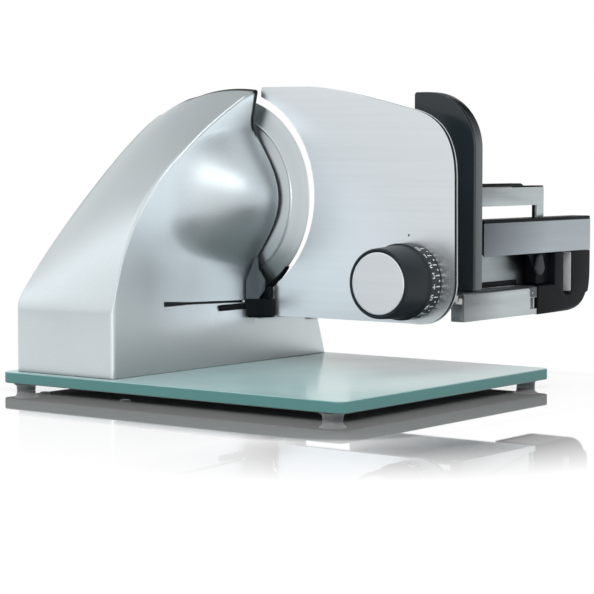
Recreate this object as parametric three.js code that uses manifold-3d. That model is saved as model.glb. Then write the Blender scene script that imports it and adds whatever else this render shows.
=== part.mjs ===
// Electric food slicer: a cast tower on a glass plate turns a round blade, a stop plate set by a dial
// gives the slice thickness, and a carriage with a pusher runs past the blade on a rail.
// Millimetres. X is the way the carriage runs, Y goes across the blade, Z is up.
// The modelling zero lies on the upper face of the glass, at its near edge, a little in from its left edge.

import * as THREE from 'three';
import { mergeVertices } from 'three/addons/utils/BufferGeometryUtils.js';
import Module from 'manifold-3d';

const wasm = await Module();
wasm.setup();

// Gaps between pieces
const SEAT = 0.3;
const RUN = 0.6;

// Glass plate and feet
const PLATE_LEFT = -6.5;
const PLATE_RIGHT = 340;
const PLATE_DEPTH = 297;
const PLATE_THICKNESS = 9;
const PLATE_CORNER = 8;
const PLATE_EDGE = 1;
const FOOT_DIAMETER = 20.5;
const FOOT_SOLE = 17.5;
const FOOT_HEIGHT = 6.3;
const FOOT_SIDE_INSET = 17;
const FOOT_END_INSET = 12;

// Cast tower: outer faces, walls and the two curved roof edges as (Y, Z) control points
const TOWER_LEFT = 1.1;
const TOWER_RIGHT = 108.7;
const TOWER_FRONT = 9.9;
const TOWER_BACK = 191;
const TOWER_WALL = 4;
const COVER_SHEET = 1.5;
const ROOF_RIGHT = [[TOWER_FRONT, 55.5], [25, 97.6], [21.4, 154.3], [TOWER_BACK, 234.6]];
const ROOF_LEFT = [[TOWER_FRONT, 54], [20, 80.5], [151, 200.4], [TOWER_BACK, 214]];
const ROOF_CROWN = 8.2;
const ROOF_EDGE = 2.5;

// Lip of the tower over the top of the blade, hollowed by a cone about the blade axis
const LIP_LEFT = 40;
const LIP_REACH = 6.5;
const LIP_INNER = 78;
const LIP_OUTER = 99.6;

// Low base that reaches back under the carriage
const BASE_BACK = 290;
const BASE_HEIGHT = 34;
const BASE_LEAN = 0.62;

// Blade axis and the bulge that turns the slices away from the tower
const AXIS_X = 72;
const AXIS_Z = 141;
const BULGE_RISE = 27;
const BULGE_HALF = 62;
const BULGE_LENGTH = 135;
const BULGE_SOFT = 1.5;

// Blade, spindle and its two ball bearings
const BLADE_RADIUS = 85;
const BLADE_THICKNESS = 2;
const BLADE_GAP = 2.6;
const BLADE_FLAT = 71;
const BLADE_DISH = 8.5;
const SPINDLE_DIAMETER = 12;
const BEARING_OUTER = 28;
const BEARING_WIDTH = 8;
const BEARING_SPREAD = 26;
const BEARING_LIP = 3;
const BOSS_WALL = 4;
const HUB_DIAMETER = 44;
const HUB_THICKNESS = 1.7;
const LOCK_DIAMETER = 40;
const LOCK_HEIGHT = 6;

// Guard round the part of the blade that does not cut, angles from +X towards +Z
const GUARD_FROM = 128;
const GUARD_TO = 288;
const GUARD_CLEARANCE = 1.5;
const GUARD_WALL = 2;
const GUARD_INNER = 58;
const GUARD_HEIGHT = 15;

// Worm drive
const WHEEL_TEETH = 32;
const WHEEL_RADIUS = 28;
const WHEEL_WIDTH = 14;
const TOOTH_OUT = 1.5;
const TOOTH_IN = 2;
const TOOTH_TIP = 1.5;
const TOOTH_ROOT = 3.1;
const WORM_RADIUS = 6;
const WORM_TIP = 7;
const WORM_ROOT = 4.4;
const WORM_LENGTH = 30;
const WORM_COLLAR = 5;
const WORM_RIDGE_HALF = 1.6;
const WORM_FLANK = 1.1;
const WHEEL_Y = 136;

// Motor
const STATOR_DIAMETER = 56;
const STATOR_HEIGHT = 52;
const STATOR_BORE = 38;
const STATOR_BASE = 24;
const ROTOR_DIAMETER = 36;
const SHAFT_DIAMETER = 8;
const SHAFT_SHOULDER = 1.5;
const MOTOR_BEARING_OUTER = 16;
const MOTOR_BEARING_WIDTH = 5;
const BRACKET_THICKNESS = 3;
const BRACKET_FLANGE = 16;

// Stop plate: flat aluminium plate with a round cut-out beside the blade
const STOP_FACE = 204.3;
const STOP_THICKNESS = 6;
const STOP_LEFT = 110.5;
const STOP_RIGHT = 306;
const STOP_TOP = 235.3;
const STOP_BOTTOM = 40.6;
const STOP_EDGE = 1.5;
const STOP_LOW_CORNER = 34;
const STOP_HIGH_CORNER = 78;
const STOP_SHOULDER_IN = 44;
const STOP_SHOULDER_DOWN = 20;
const STOP_CREST = 50;
const STOP_CREST_DROP = 0.6;
const STOP_TIP = 2;
const STOP_TOE = 9;
const STOP_SCREW_PLACES = [150, 225];
const CUT_X = 76.6;
const CUT_Z = 145;
const CUT_RADIUS = 90.1;

// Thickness dial on the stop plate
const DIAL_X = 263.4;
const DIAL_Z = 74.7;
const DIAL_SKIRT_RADIUS = 31.5;
const DIAL_NECK_RADIUS = 30.3;
const DIAL_FRONT_RADIUS = 28.4;
const DIAL_REACH = 44.6;
const DIAL_SKIRT_WIDTH = 13;
const DIAL_CAP_RADIUS = 26.2;
const DIAL_CAP_DEPTH = 2.5;
const DIAL_PIN_DIAMETER = 10;

// Arm and guide that carry the stop plate
const ARM_HEIGHT = 7.7;
const TONGUE_LEFT = 72;
const TONGUE_RIGHT = 100;
const TONGUE_BACK = 271;
const ARM_FRONT = 212;
const ARM_BACK = 222;
const ARM_BAR_RIGHT = 250;
const ARM_BAR_TOP = 54;
const CHEEK_RIGHT = 119.5;
const CHEEK_FRONT = 180;
const CHEEK_TOP = 54.8;
const CHEEK_BOTTOM = 38.5;
const GUIDE_FLOOR = 2.7;
const GUIDE_CHEEK = 3.5;
const GUIDE_FRONT = 224;

// Guide strip and groove in the right wall of the tower
const STRIP_FRONT = 144;
const STRIP_BACK = 175;
const STRIP_Z = 48.8;
const STRIP_HEIGHT = 5.2;
const STRIP_DEPTH = 2.6;
const STRIP_PROUD = 0.7;
const GROOVE_FRONT = 73;
const GROOVE_BACK = 178;
const GROOVE_Z = 56.2;
const GROOVE_HEIGHT = 2.4;
const GROOVE_DEPTH = 2;

// Finger guard at the lower edge of the blade
const FINGER_FRONT = 179;
const FINGER_RIGHT = 120;
const FINGER_BOTTOM = 55.8;
const FINGER_TOP = 88;
const FINGER_SHOULDER = 68;
const FINGER_SEAT = 3;
const FINGER_TAPER = 8;

// Rail under the carriage and the two glides on the base that it runs through
const RAIL_LEFT = 2;
const RAIL_RIGHT = 300;
const RAIL_Y = 249;
const RAIL_WIDTH = 24;
const RAIL_WEB = 15;
const RAIL_HEAD = 4;
const GLIDE_PLACES = [10.6, 82];
const GLIDE_LENGTH = 26;
const GLIDE_CHEEK = 4.5;
const GLIDE_FLOOR = 3;
const GLIDE_LIP = 2.5;
const PEDESTAL_HEIGHT = 16;
const BRIDGE_THICKNESS = 4;

// Carriage: bent steel table, back wall, grip rail and hand guard
const TABLE_LEFT = 110;
const TABLE_RIGHT = 306;
const TABLE_FRONT = 215.3;
const TABLE_BACK = 331;
const TABLE_TOP = 65.8;
const TABLE_BOTTOM = 41.8;
const TABLE_SHEET = 2;
const TABLE_LIP = 10;
const TABLE_RETURN = 13;
const NOTCH_LENGTH = 10.5;
const NOTCH_BOTTOM = 46.6;
const NOTCH_TOP = 56;
const WALL_X = 286;
const WALL_SHEET = 2;
const GRIP_RAIL_FRONT = 246;
const GRIP_RAIL_BACK = 424;
const GRIP_RAIL_TOP = 124.2;
const GRIP_RAIL_BOTTOM = 93.8;
const BAND_SHEET = 1.6;
const BAND_CORNER = 2;
const GUARD_LEFT = 264;
const HAND_GUARD_BOTTOM = 41;
const HAND_GUARD_FRONT = 333;
const HAND_GUARD_STEP = 362;
const HAND_GUARD_CURVE = 36;
const HAND_GUARD_WALL = 33;
const HAND_GUARD_BACK = 8;
const HAND_SLOT_BOTTOM = 55.5;
const HAND_SLOT_WIDTH = 14;
const GRIP_FRONT = 316;
const GRIP_RELIEF = 1.5;
const FUNNEL_TOP = 18;
const FUNNEL_FOOT = 8;
const FUNNEL_HEIGHT = 12;
const LEVER_Y = 339.6;
const LEVER_Z = 87.5;
const LEVER_THICKNESS = 3.6;
const LEVER_HEAD = 5.5;
const LEVER_TIP = 7.5;
const LEVER_LENGTH = 6;
const LEVER_PIN_DIAMETER = 4;
const LEVER_PIN_LENGTH = 9;

// Pusher: plate, angle bracket and the pad on the bracket
const PUSHER_LEFT = 247;
const PUSHER_RIGHT = 305.6;
const PUSHER_FRONT = 230;
const PUSHER_THICKNESS = 13.5;
const PUSHER_TOP = 229.6;
const PUSHER_CORNER = 47;
const PUSHER_TRAVEL = 24;
const PUSHER_GROOVE = 1.6;
const SADDLE_RIGHT = 301;
const SADDLE_LEFT = 289;
const SADDLE_BACK = 350;
const SADDLE_TOP = 150.5;
const SADDLE_BOTTOM = 135;
const SADDLE_SHEET = 2;
const SADDLE_LEG = 18;
const TRACK_DEPTH = 7;
const PAD_BACK = 316;
const PAD_HEIGHT = 3;

// Switch and cable inlet on the left wall
const SWITCH_Y = 76;
const SWITCH_Z = 38;
const SWITCH_LENGTH = 36;
const SWITCH_HEIGHT = 24;
const SWITCH_RIM = 4;
const SWITCH_DEPTH = 18;
const SWITCH_PROUD = 2;
const ROCKER_PROUD = 2.4;
const ROCKER_ROOM = 8;
const INLET_Y = 36;
const INLET_Z = 30;
const INLET_DIAMETER = 14;
const INLET_BORE = 7;
const INLET_COLLAR = 2.6;

// Fasteners
const SCREW_DIAMETER = 4;
const SCREW_HEAD = 9;
const SCREW_HEAD_HEIGHT = 2.6;
const SCREW_LENGTH = 12;
const SCREW_ROWS = [34, 252];
const BOSS_DIAMETER = 12;
const BOSS_HEIGHT = 16;
const BOSS_SINK = 1;

// Fineness of the facets
const ROUND = 32;
const SMALL_ROUND = 12;
const MERGE_DISTANCE = 1e-4;

// Places worked out from the sizes above
const stopFront = STOP_FACE - STOP_THICKNESS;
const bladeFront = TOWER_BACK + BLADE_GAP;
const bearingBoss = BEARING_OUTER / 2 + BOSS_WALL;
const bossFront = TOWER_BACK - TOWER_WALL - 2 * BEARING_WIDTH - BEARING_SPREAD + BEARING_WIDTH;
const wormDistance = WHEEL_RADIUS + WORM_RADIUS + RUN;
const motorX = AXIS_X - wormDistance;
const wormPitch = 2 * Math.PI * WHEEL_RADIUS / WHEEL_TEETH;
const shelfBottom = AXIS_Z + WORM_LENGTH / 2 + WORM_COLLAR;
const tongueBottom = BASE_HEIGHT + SEAT + GUIDE_FLOOR + SEAT;
const guideLeft = TONGUE_LEFT - SEAT - GUIDE_CHEEK;
const guideRight = TONGUE_RIGHT + SEAT + GUIDE_CHEEK;
const pedestalTop = BASE_HEIGHT + PEDESTAL_HEIGHT;
const railBottom = pedestalTop + SEAT + GLIDE_FLOOR + RUN;
const railHead = railBottom + RAIL_HEAD;
const glideReach = RAIL_WIDTH / 2 + RUN + GLIDE_CHEEK;
const tableUnder = TABLE_TOP - TABLE_SHEET;
const bandBack = TABLE_RIGHT - BAND_SHEET;
const coreLeft = WALL_X + WALL_SHEET + SEAT;
const leverFace = TABLE_RIGHT - 1;
const pusherBack = PUSHER_FRONT + PUSHER_THICKNESS;
const bossReach = TOWER_WALL + BOSS_DIAMETER / 2 - BOSS_SINK;
const screwPlaces = SCREW_ROWS.flatMap((y) => [
  [TOWER_LEFT + bossReach, y], [TOWER_RIGHT - bossReach, y],
]);

// Finishes: colour, roughness and metalness of each material
const finishes = {
  casting: [0xc9cdd0, 0.42, 0.75],
  brushed: [0xc6c9cb, 0.35, 0.9],
  steel: [0xb9bec2, 0.3, 1],
  blade: [0xd2d6d8, 0.18, 1],
  plastic: [0x343b41, 0.5, 0],
  lever: [0x565d63, 0.5, 0],
  glass: [0x8fb9b6, 0.15, 0],
  rubber: [0x8a8f92, 0.8, 0],
  nylon: [0xe4e0d2, 0.55, 0],
  copper: [0x6d6259, 0.5, 0.6],
};

// Helpers for solids

function toSolid(geometry) {
  const bare = new THREE.BufferGeometry();
  bare.setAttribute('position', geometry.getAttribute('position').clone());
  if (geometry.index) {
    bare.setIndex(geometry.index.clone());
  }
  const merged = mergeVertices(bare, MERGE_DISTANCE);
  const index = merged.index.array;
  const corners = [];
  for (let i = 0; i < index.length; i += 3) {
    const [a, b, c] = [index[i], index[i + 1], index[i + 2]];
    if (a !== b && b !== c && c !== a) {
      corners.push(a, b, c);
    }
  }
  return new wasm.Manifold(new wasm.Mesh({
    numProp: 3,
    vertProperties: Float32Array.from(merged.attributes.position.array),
    triVerts: Uint32Array.from(corners),
  }));
}

function toGeometry(solid) {
  const mesh = solid.getMesh();
  const geometry = new THREE.BufferGeometry();
  geometry.setAttribute('position', new THREE.BufferAttribute(Float32Array.from(mesh.vertProperties), 3));
  geometry.setIndex(new THREE.BufferAttribute(Uint32Array.from(mesh.triVerts), 1));
  geometry.computeVertexNormals();
  return geometry;
}

function piece(name, shape, finish) {
  const [color, roughness, metalness] = finishes[finish];
  const geometry = shape.isBufferGeometry ? shape : toGeometry(shape);
  const mesh = new THREE.Mesh(geometry, new THREE.MeshStandardMaterial({ color, roughness, metalness }));
  mesh.name = name;
  return mesh;
}

function joined(solids) {
  return solids.reduce((whole, part) => whole.add(part));
}

function cut(solid, tools) {
  return tools.reduce((rest, tool) => rest.subtract(tool), solid);
}

// Outline with round corners between two opposite corners
function roundedOutline(u0, v0, u1, v1, radius) {
  const shape = new THREE.Shape();
  shape.absarc(u1 - radius, v0 + radius, radius, -Math.PI / 2, 0);
  shape.absarc(u1 - radius, v1 - radius, radius, 0, Math.PI / 2);
  shape.absarc(u0 + radius, v1 - radius, radius, Math.PI / 2, Math.PI);
  shape.absarc(u0 + radius, v0 + radius, radius, Math.PI, 1.5 * Math.PI);
  shape.closePath();
  return shape;
}

function outlineOf(points) {
  return new THREE.Shape(points.map(([u, v]) => new THREE.Vector2(u, v)));
}

function circleOutline(u, v, radius) {
  const shape = new THREE.Shape();
  shape.absarc(u, v, radius, 0, 2 * Math.PI);
  return shape;
}

// Straight extrusion with an optional bevel that stays inside the outline
function extrude(shape, length, bevel = 0, curveSegments = 6) {
  const geometry = new THREE.ExtrudeGeometry(shape, {
    depth: length - 2 * bevel,
    bevelEnabled: bevel > 0,
    bevelThickness: bevel,
    bevelSize: bevel,
    bevelOffset: -bevel,
    bevelSegments: 1,
    curveSegments,
  });
  return geometry.translate(0, 0, bevel);
}

// Outline in (Y, Z) carried along X
function alongX(shape, x0, x1, bevel, curveSegments) {
  const turn = new THREE.Matrix4().makeBasis(
    new THREE.Vector3(0, 1, 0),
    new THREE.Vector3(0, 0, 1),
    new THREE.Vector3(1, 0, 0),
  );
  return extrude(shape, x1 - x0, bevel, curveSegments).applyMatrix4(turn).translate(x0, 0, 0);
}

// Outline in (X, Z) carried along Y
function alongY(shape, y0, y1, bevel, curveSegments) {
  return extrude(shape, y1 - y0, bevel, curveSegments).rotateX(Math.PI / 2).translate(0, y1, 0);
}

// Outline in (X, Y) carried along Z
function alongZ(shape, z0, z1, bevel, curveSegments) {
  return extrude(shape, z1 - z0, bevel, curveSegments).translate(0, 0, z0);
}

function block(x0, y0, z0, x1, y1, z1) {
  const box = new THREE.BoxGeometry(x1 - x0, y1 - y0, z1 - z0);
  return toSolid(box.translate((x0 + x1) / 2, (y0 + y1) / 2, (z0 + z1) / 2));
}

// Profile of (radius, height) points turned about the Y axis, with the faces outwards
function turned(points, segments = ROUND) {
  const profile = points.map(([r, h]) => new THREE.Vector2(r, h));
  if (THREE.ShapeUtils.area(profile) < 0) {
    profile.reverse();
  }
  profile.push(profile[0].clone());
  return toGeometry(toSolid(new THREE.LatheGeometry(profile, segments)));
}

function tubeProfile(inner, outer, low, high) {
  return [[inner, low], [outer, low], [outer, high], [inner, high]];
}

function tubeOf(radius, low, high) {
  return tubeProfile(0, radius, low, high);
}

// The same, standing along Z at (x, y)
function upright(points, x, y, segments = ROUND) {
  return turned(points, segments).rotateX(Math.PI / 2).translate(x, y, 0);
}

// Closed skin over a row of rings with equal point counts; each end is closed by a fan about its middle
function loft(rings) {
  const count = rings[0].length;
  const positions = rings.flat().flatMap((p) => [p.x, p.y, p.z]);
  const index = [];
  for (let row = 0; row + 1 < rings.length; row += 1) {
    for (let i = 0; i < count; i += 1) {
      const next = (i + 1) % count;
      const [a, b] = [row * count + i, row * count + next];
      const [c, d] = [a + count, b + count];
      index.push(a, d, b, a, c, d);
    }
  }
  const closeEnd = (ring, start, last) => {
    const centre = ring.reduce((sum, p) => sum.add(p), new THREE.Vector3()).divideScalar(count);
    const hub = positions.length / 3;
    positions.push(centre.x, centre.y, centre.z);
    for (let i = 0; i < count; i += 1) {
      const [a, b] = [start + i, start + (i + 1) % count];
      index.push(hub, last ? b : a, last ? a : b);
    }
  };
  closeEnd(rings[0], 0, false);
  closeEnd(rings.at(-1), (rings.length - 1) * count, true);
  const geometry = new THREE.BufferGeometry();
  geometry.setAttribute('position', new THREE.Float32BufferAttribute(positions, 3));
  geometry.setIndex(index);
  return toSolid(geometry);
}

function screw(name, x, y, headUnder, length) {
  const half = SCREW_DIAMETER / 2;
  const profile = [
    [0, headUnder - SCREW_HEAD_HEIGHT], [SCREW_HEAD / 2 - 1, headUnder - SCREW_HEAD_HEIGHT],
    [SCREW_HEAD / 2, headUnder - SCREW_HEAD_HEIGHT + 1], [SCREW_HEAD / 2, headUnder],
    [half, headUnder], [half, headUnder + length], [0, headUnder + length],
  ];
  return piece(name, upright(profile, x, y, SMALL_ROUND), 'steel');
}

// Glass plate, feet and the screws that hold the tower

function glassPlate() {
  const outline = roundedOutline(PLATE_LEFT, 0, PLATE_RIGHT, PLATE_DEPTH, PLATE_CORNER);
  for (const [x, y] of screwPlaces) {
    outline.holes.push(circleOutline(x, y, SCREW_DIAMETER / 2 + RUN));
  }
  return piece('glass_plate', alongZ(outline, -PLATE_THICKNESS, 0, PLATE_EDGE, 4), 'glass');
}

function foot(name, x, y) {
  const top = -PLATE_THICKNESS - SEAT;
  const bottom = -PLATE_THICKNESS - FOOT_HEIGHT;
  const radius = FOOT_DIAMETER / 2;
  const sole = FOOT_SOLE / 2;
  const profile = [
    [0, bottom], [sole - 0.6, bottom], [sole, bottom + 0.6],
    [sole, bottom + FOOT_HEIGHT / 2], [radius, top - 0.5], [radius, top], [0, top],
  ];
  return piece(name, upright(profile, x, y, 20), 'rubber');
}

// Cast tower

const rightEdge = roofEdge(ROOF_RIGHT);
const leftEdge = roofEdge(ROOF_LEFT);

function roofEdge(controls) {
  const points = controls.map(([y, z]) => new THREE.Vector2(y, z));
  return new THREE.CubicBezierCurve(...points);
}

// Height of a roof edge at a place along Y, by halving the curve's parameter
function edgeHeight(edge, y) {
  let low = 0;
  let high = 1;
  for (let i = 0; i < 40; i += 1) {
    const middle = (low + high) / 2;
    if (edge.getPoint(middle).x < y) {
      low = middle;
    } else {
      high = middle;
    }
  }
  return edge.getPoint(low).y;
}

// Right wall of the tower: a flat face that swells softly round the blade axis
function rightWall(y, z) {
  const along = Math.max(TOWER_BACK - y, 0) / BULGE_LENGTH;
  const up = (z - AXIS_Z) / BULGE_HALF;
  const inside = Math.max(1 - along * along - up * up, 0);
  return TOWER_RIGHT + BULGE_RISE * inside ** BULGE_SOFT;
}

function towerRing(y, inset, floor, wallSteps, roofSteps) {
  const at = y - inset;
  const left = TOWER_LEFT + inset;
  const zRight = edgeHeight(rightEdge, at) - inset;
  const zLeft = edgeHeight(leftEdge, at) - inset;
  const crown = ROOF_CROWN * (at - TOWER_FRONT) / (TOWER_BACK - TOWER_FRONT);
  const wallTop = zRight - ROOF_EDGE;
  const ring = [new THREE.Vector3(left, y, floor)];
  for (let i = 0; i <= wallSteps; i += 1) {
    const z = floor + (wallTop - floor) * i / wallSteps;
    ring.push(new THREE.Vector3(rightWall(y, z) - inset, y, z));
  }
  const roofRight = rightWall(y, wallTop) - inset - ROOF_EDGE;
  const roofLeft = left + ROOF_EDGE;
  for (let i = 0; i <= roofSteps; i += 1) {
    const t = i / roofSteps;
    const x = roofRight + (roofLeft - roofRight) * t;
    const z = zRight + (zLeft - zRight) * t + 4 * crown * t * (1 - t);
    ring.push(new THREE.Vector3(x, y, z));
  }
  ring.push(new THREE.Vector3(left, y, zLeft - ROOF_EDGE));
  return ring;
}

function towerBody(inset, floor, stations, wallSteps, roofSteps) {
  const rings = [];
  for (let i = 0; i <= stations; i += 1) {
    const t = i / stations;
    const span = TOWER_BACK - TOWER_FRONT - 2 * inset;
    rings.push(towerRing(TOWER_FRONT + inset + span * t ** 1.4, inset, floor, wallSteps, roofSteps));
  }
  return loft(rings);
}

// Lip over the top of the blade: the last section of the tower carried on, with the cone taken out
function towerLip(wallSteps, roofSteps) {
  const section = towerRing(TOWER_BACK, 0, SEAT, wallSteps, roofSteps);
  const end = TOWER_BACK + LIP_REACH;
  const rings = [TOWER_BACK - 1, end].map((y) => section.map((p) => new THREE.Vector3(p.x, y, p.z)));
  const cone = turned([
    [0, TOWER_BACK - 2], [LIP_INNER, TOWER_BACK - 2], [LIP_INNER, TOWER_BACK],
    [LIP_OUTER, end], [LIP_OUTER, end + 1], [0, end + 1],
  ], 2 * ROUND);
  const room = block(LIP_LEFT, TOWER_BACK - 1, AXIS_Z, TOWER_RIGHT, end, 2 * AXIS_Z);
  return loft(rings).intersect(room).subtract(toSolid(cone.translate(AXIS_X, 0, AXIS_Z)));
}

function baseBody(inset, floor) {
  const top = BASE_HEIGHT - inset;
  const ringAt = (y, lean) => {
    const corner = (x, z) => new THREE.Vector3(x, y - lean * (z - floor), z);
    return [
      corner(TOWER_LEFT + inset, floor),
      corner(TOWER_RIGHT - inset, floor),
      corner(TOWER_RIGHT - inset, top - ROOF_EDGE),
      corner(TOWER_RIGHT - inset - ROOF_EDGE, top),
      corner(TOWER_LEFT + inset + ROOF_EDGE, top),
      corner(TOWER_LEFT + inset, top - ROOF_EDGE),
    ];
  };
  const start = TOWER_BACK - 2 * TOWER_WALL;
  const steps = 4;
  const rings = [];
  for (let i = 0; i <= steps; i += 1) {
    const t = i / steps;
    rings.push(ringAt(start + (BASE_BACK - inset - start) * t, BASE_LEAN * t));
  }
  return loft(rings);
}

// Bosses, shelf and pedestal that stand on the walls of the casting
function housingBosses(outer) {
  const half = MOTOR_BEARING_OUTER / 2 + BOSS_WALL;
  const shelf = outer.intersect(block(
    TOWER_LEFT, WHEEL_Y - half, shelfBottom,
    motorX + half, WHEEL_Y + half, shelfBottom + MOTOR_BEARING_WIDTH + SEAT,
  ));
  const boss = turned(tubeOf(bearingBoss, bossFront, TOWER_BACK - 1)).translate(AXIS_X, 0, AXIS_Z);
  const screwBoss = tubeOf(BOSS_DIAMETER / 2, SEAT, BOSS_HEIGHT);
  const [left, right] = [GLIDE_PLACES[0], GLIDE_PLACES[1] + GLIDE_LENGTH];
  const [front, back] = [RAIL_Y - glideReach, RAIL_Y + glideReach];
  const sunk = BASE_HEIGHT - TOWER_WALL + BOSS_SINK;
  const pedestal = joined([
    block(left, front, sunk, guideLeft - SEAT, back, pedestalTop),
    block(left, front, pedestalTop - BRIDGE_THICKNESS, right, back, pedestalTop),
    block(guideRight + SEAT, front, sunk, right, back, pedestalTop),
  ]);
  return [
    shelf, outer.intersect(toSolid(boss)), pedestal,
    ...screwPlaces.map(([x, y]) => toSolid(upright(screwBoss, x, y, SMALL_ROUND))),
  ];
}

// Round holes for the bearings, the screws and the cable inlet
function housingBores() {
  const seat = BEARING_OUTER / 2;
  const wall = TOWER_BACK - TOWER_WALL;
  const spindleBore = turned([
    [0, bossFront - 1], [seat, bossFront - 1], [seat, wall],
    [seat - BEARING_LIP, wall], [seat - BEARING_LIP, TOWER_BACK + 1], [0, TOWER_BACK + 1],
  ]);
  const motorBore = tubeOf(MOTOR_BEARING_OUTER / 2, shelfBottom - 1, shelfBottom + MOTOR_BEARING_WIDTH + 1);
  const screwBore = tubeOf(SCREW_DIAMETER / 2 + SEAT, SEAT - 1, BOSS_HEIGHT - 2);
  const inlet = circleOutline(INLET_Y, INLET_Z, INLET_DIAMETER / 2);
  return [
    spindleBore.translate(AXIS_X, 0, AXIS_Z),
    upright(motorBore, motorX, WHEEL_Y, 24),
    alongX(inlet, TOWER_LEFT - 1, TOWER_LEFT + TOWER_WALL + 1),
    ...screwPlaces.map(([x, y]) => upright(screwBore, x, y, SMALL_ROUND)),
  ].map(toSolid);
}

// Seats for the guide strip, the switch and the finger guard, and the groove in the right wall
function housingRecesses() {
  const outside = TOWER_RIGHT + 1;
  const strip = STRIP_HEIGHT / 2 + SEAT;
  const groove = GROOVE_HEIGHT / 2;
  const long = SWITCH_LENGTH / 2 - SWITCH_RIM + SEAT;
  const high = SWITCH_HEIGHT / 2 - SWITCH_RIM + SEAT;
  const inside = TOWER_LEFT + TOWER_WALL + 1;
  return [
    block(TOWER_RIGHT - STRIP_DEPTH - SEAT, STRIP_FRONT - SEAT, STRIP_Z - strip,
      outside, STRIP_BACK + SEAT, STRIP_Z + strip),
    block(TOWER_RIGHT - GROOVE_DEPTH, GROOVE_FRONT, GROOVE_Z - groove,
      outside, GROOVE_BACK, GROOVE_Z + groove),
    block(TOWER_LEFT - 1, SWITCH_Y - long, SWITCH_Z - high, inside, SWITCH_Y + long, SWITCH_Z + high),
    fingerGuardSolid(SEAT),
  ];
}

function housing() {
  const outer = towerBody(0, SEAT, 18, 24, 6);
  const hollow = towerBody(TOWER_WALL, -TOWER_WALL, 9, 12, 3);
  const solid = joined([outer, towerLip(24, 6), baseBody(0, SEAT)]);
  const shell = cut(solid, [hollow, baseBody(TOWER_WALL, -TOWER_WALL)]);
  const filled = joined([shell, ...housingBosses(outer)]);
  return piece('housing', cut(filled, [...housingBores(), ...housingRecesses()]), 'casting');
}

// Sheet that closes the tower from below, notched at its sides for the screw bosses
function bottomCover() {
  const gap = TOWER_WALL + SEAT;
  const [left, right] = [TOWER_LEFT + gap, TOWER_RIGHT - gap];
  const lean = BASE_LEAN * (TOWER_WALL + COVER_SHEET + 2 * SEAT);
  const [front, back] = [TOWER_FRONT + gap, BASE_BACK - gap - lean];
  const half = BOSS_DIAMETER / 2 + SEAT;
  const sheet = block(left, front, SEAT, right, back, SEAT + COVER_SHEET);
  const notches = screwPlaces.map(([x, y]) => block(
    x < AXIS_X ? left - 1 : x - half, y - half, 0,
    x < AXIS_X ? x + half : right + 1, y + half, 2 * COVER_SHEET,
  ));
  return piece('bottom_cover', cut(sheet, notches), 'steel');
}

// Finger guard: a wedge on the corner of the tower below the blade; grow widens it for its seat
function fingerGuardSolid(grow) {
  const left = TOWER_RIGHT - FINGER_SEAT - grow;
  const outline = outlineOf([
    [left, FINGER_BOTTOM - grow], [FINGER_RIGHT + grow, FINGER_BOTTOM - grow],
    [FINGER_RIGHT + grow, FINGER_SHOULDER - FINGER_SEAT],
    [FINGER_RIGHT - FINGER_TAPER + grow, FINGER_TOP + grow], [left, FINGER_TOP + grow],
  ]);
  const upper = toSolid(alongY(outline, FINGER_FRONT - grow, TOWER_BACK + grow));
  const slope = toSolid(alongX(outlineOf([
    [FINGER_FRONT - 1 - grow, FINGER_SHOULDER + grow], [TOWER_BACK - FINGER_SEAT, FINGER_TOP + 2 + grow],
    [FINGER_FRONT - 1 - grow, FINGER_TOP + 2 + grow],
  ]), left - 1, FINGER_RIGHT + 2));
  return upper.subtract(slope);
}

function fingerGuard() {
  return piece('finger_guard', fingerGuardSolid(0), 'plastic');
}

function guideStrip() {
  const half = STRIP_HEIGHT / 2;
  const outline = roundedOutline(STRIP_FRONT, STRIP_Z - half, STRIP_BACK, STRIP_Z + half, 1.5);
  const strip = alongX(outline, TOWER_RIGHT - STRIP_DEPTH, TOWER_RIGHT + STRIP_PROUD, 0.4, 3);
  return piece('guide_strip', strip, 'plastic');
}

// Blade unit, turned about the blade axis

function bladeDisc() {
  const back = bladeFront + BLADE_THICKNESS;
  const profile = [
    [SPINDLE_DIAMETER / 2 + SEAT, bladeFront], [BLADE_FLAT, bladeFront],
    [BLADE_RADIUS - 0.4, bladeFront + BLADE_DISH], [BLADE_RADIUS, bladeFront + BLADE_DISH + 0.5],
    [BLADE_RADIUS - 0.8, bladeFront + BLADE_DISH + 0.9], [BLADE_FLAT - 1, back],
    [SPINDLE_DIAMETER / 2 + SEAT, back],
  ];
  return piece('blade', turned(profile, 56), 'blade');
}

function spindle() {
  const half = SPINDLE_DIAMETER / 2;
  const hubTop = bladeFront - SEAT;
  const front = WHEEL_Y - WHEEL_WIDTH / 2 - 4;
  const end = bladeFront + BLADE_THICKNESS + LOCK_HEIGHT - 2;
  const profile = [
    [0, front], [half - 1, front], [half, front + 1], [half, hubTop - HUB_THICKNESS],
    [HUB_DIAMETER / 2, hubTop - HUB_THICKNESS], [HUB_DIAMETER / 2, hubTop], [half, hubTop],
    [half, end], [0, end],
  ];
  return piece('spindle', turned(profile, 24), 'steel');
}

function bladeLock() {
  const base = bladeFront + BLADE_THICKNESS + SEAT;
  const radius = LOCK_DIAMETER / 2;
  const bore = SPINDLE_DIAMETER / 2 + SEAT;
  const floor = base + LOCK_HEIGHT - 2;
  const body = toSolid(turned([
    [0, floor], [bore, floor], [bore, base], [radius, base], [radius, base + 2],
    [radius - 3, base + LOCK_HEIGHT], [0, base + LOCK_HEIGHT],
  ], 32));
  const slot = block(-radius * 0.6, floor + 1, -2, radius * 0.6, base + LOCK_HEIGHT + 1, 2);
  return piece('blade_lock', body.subtract(slot), 'plastic');
}

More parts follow.
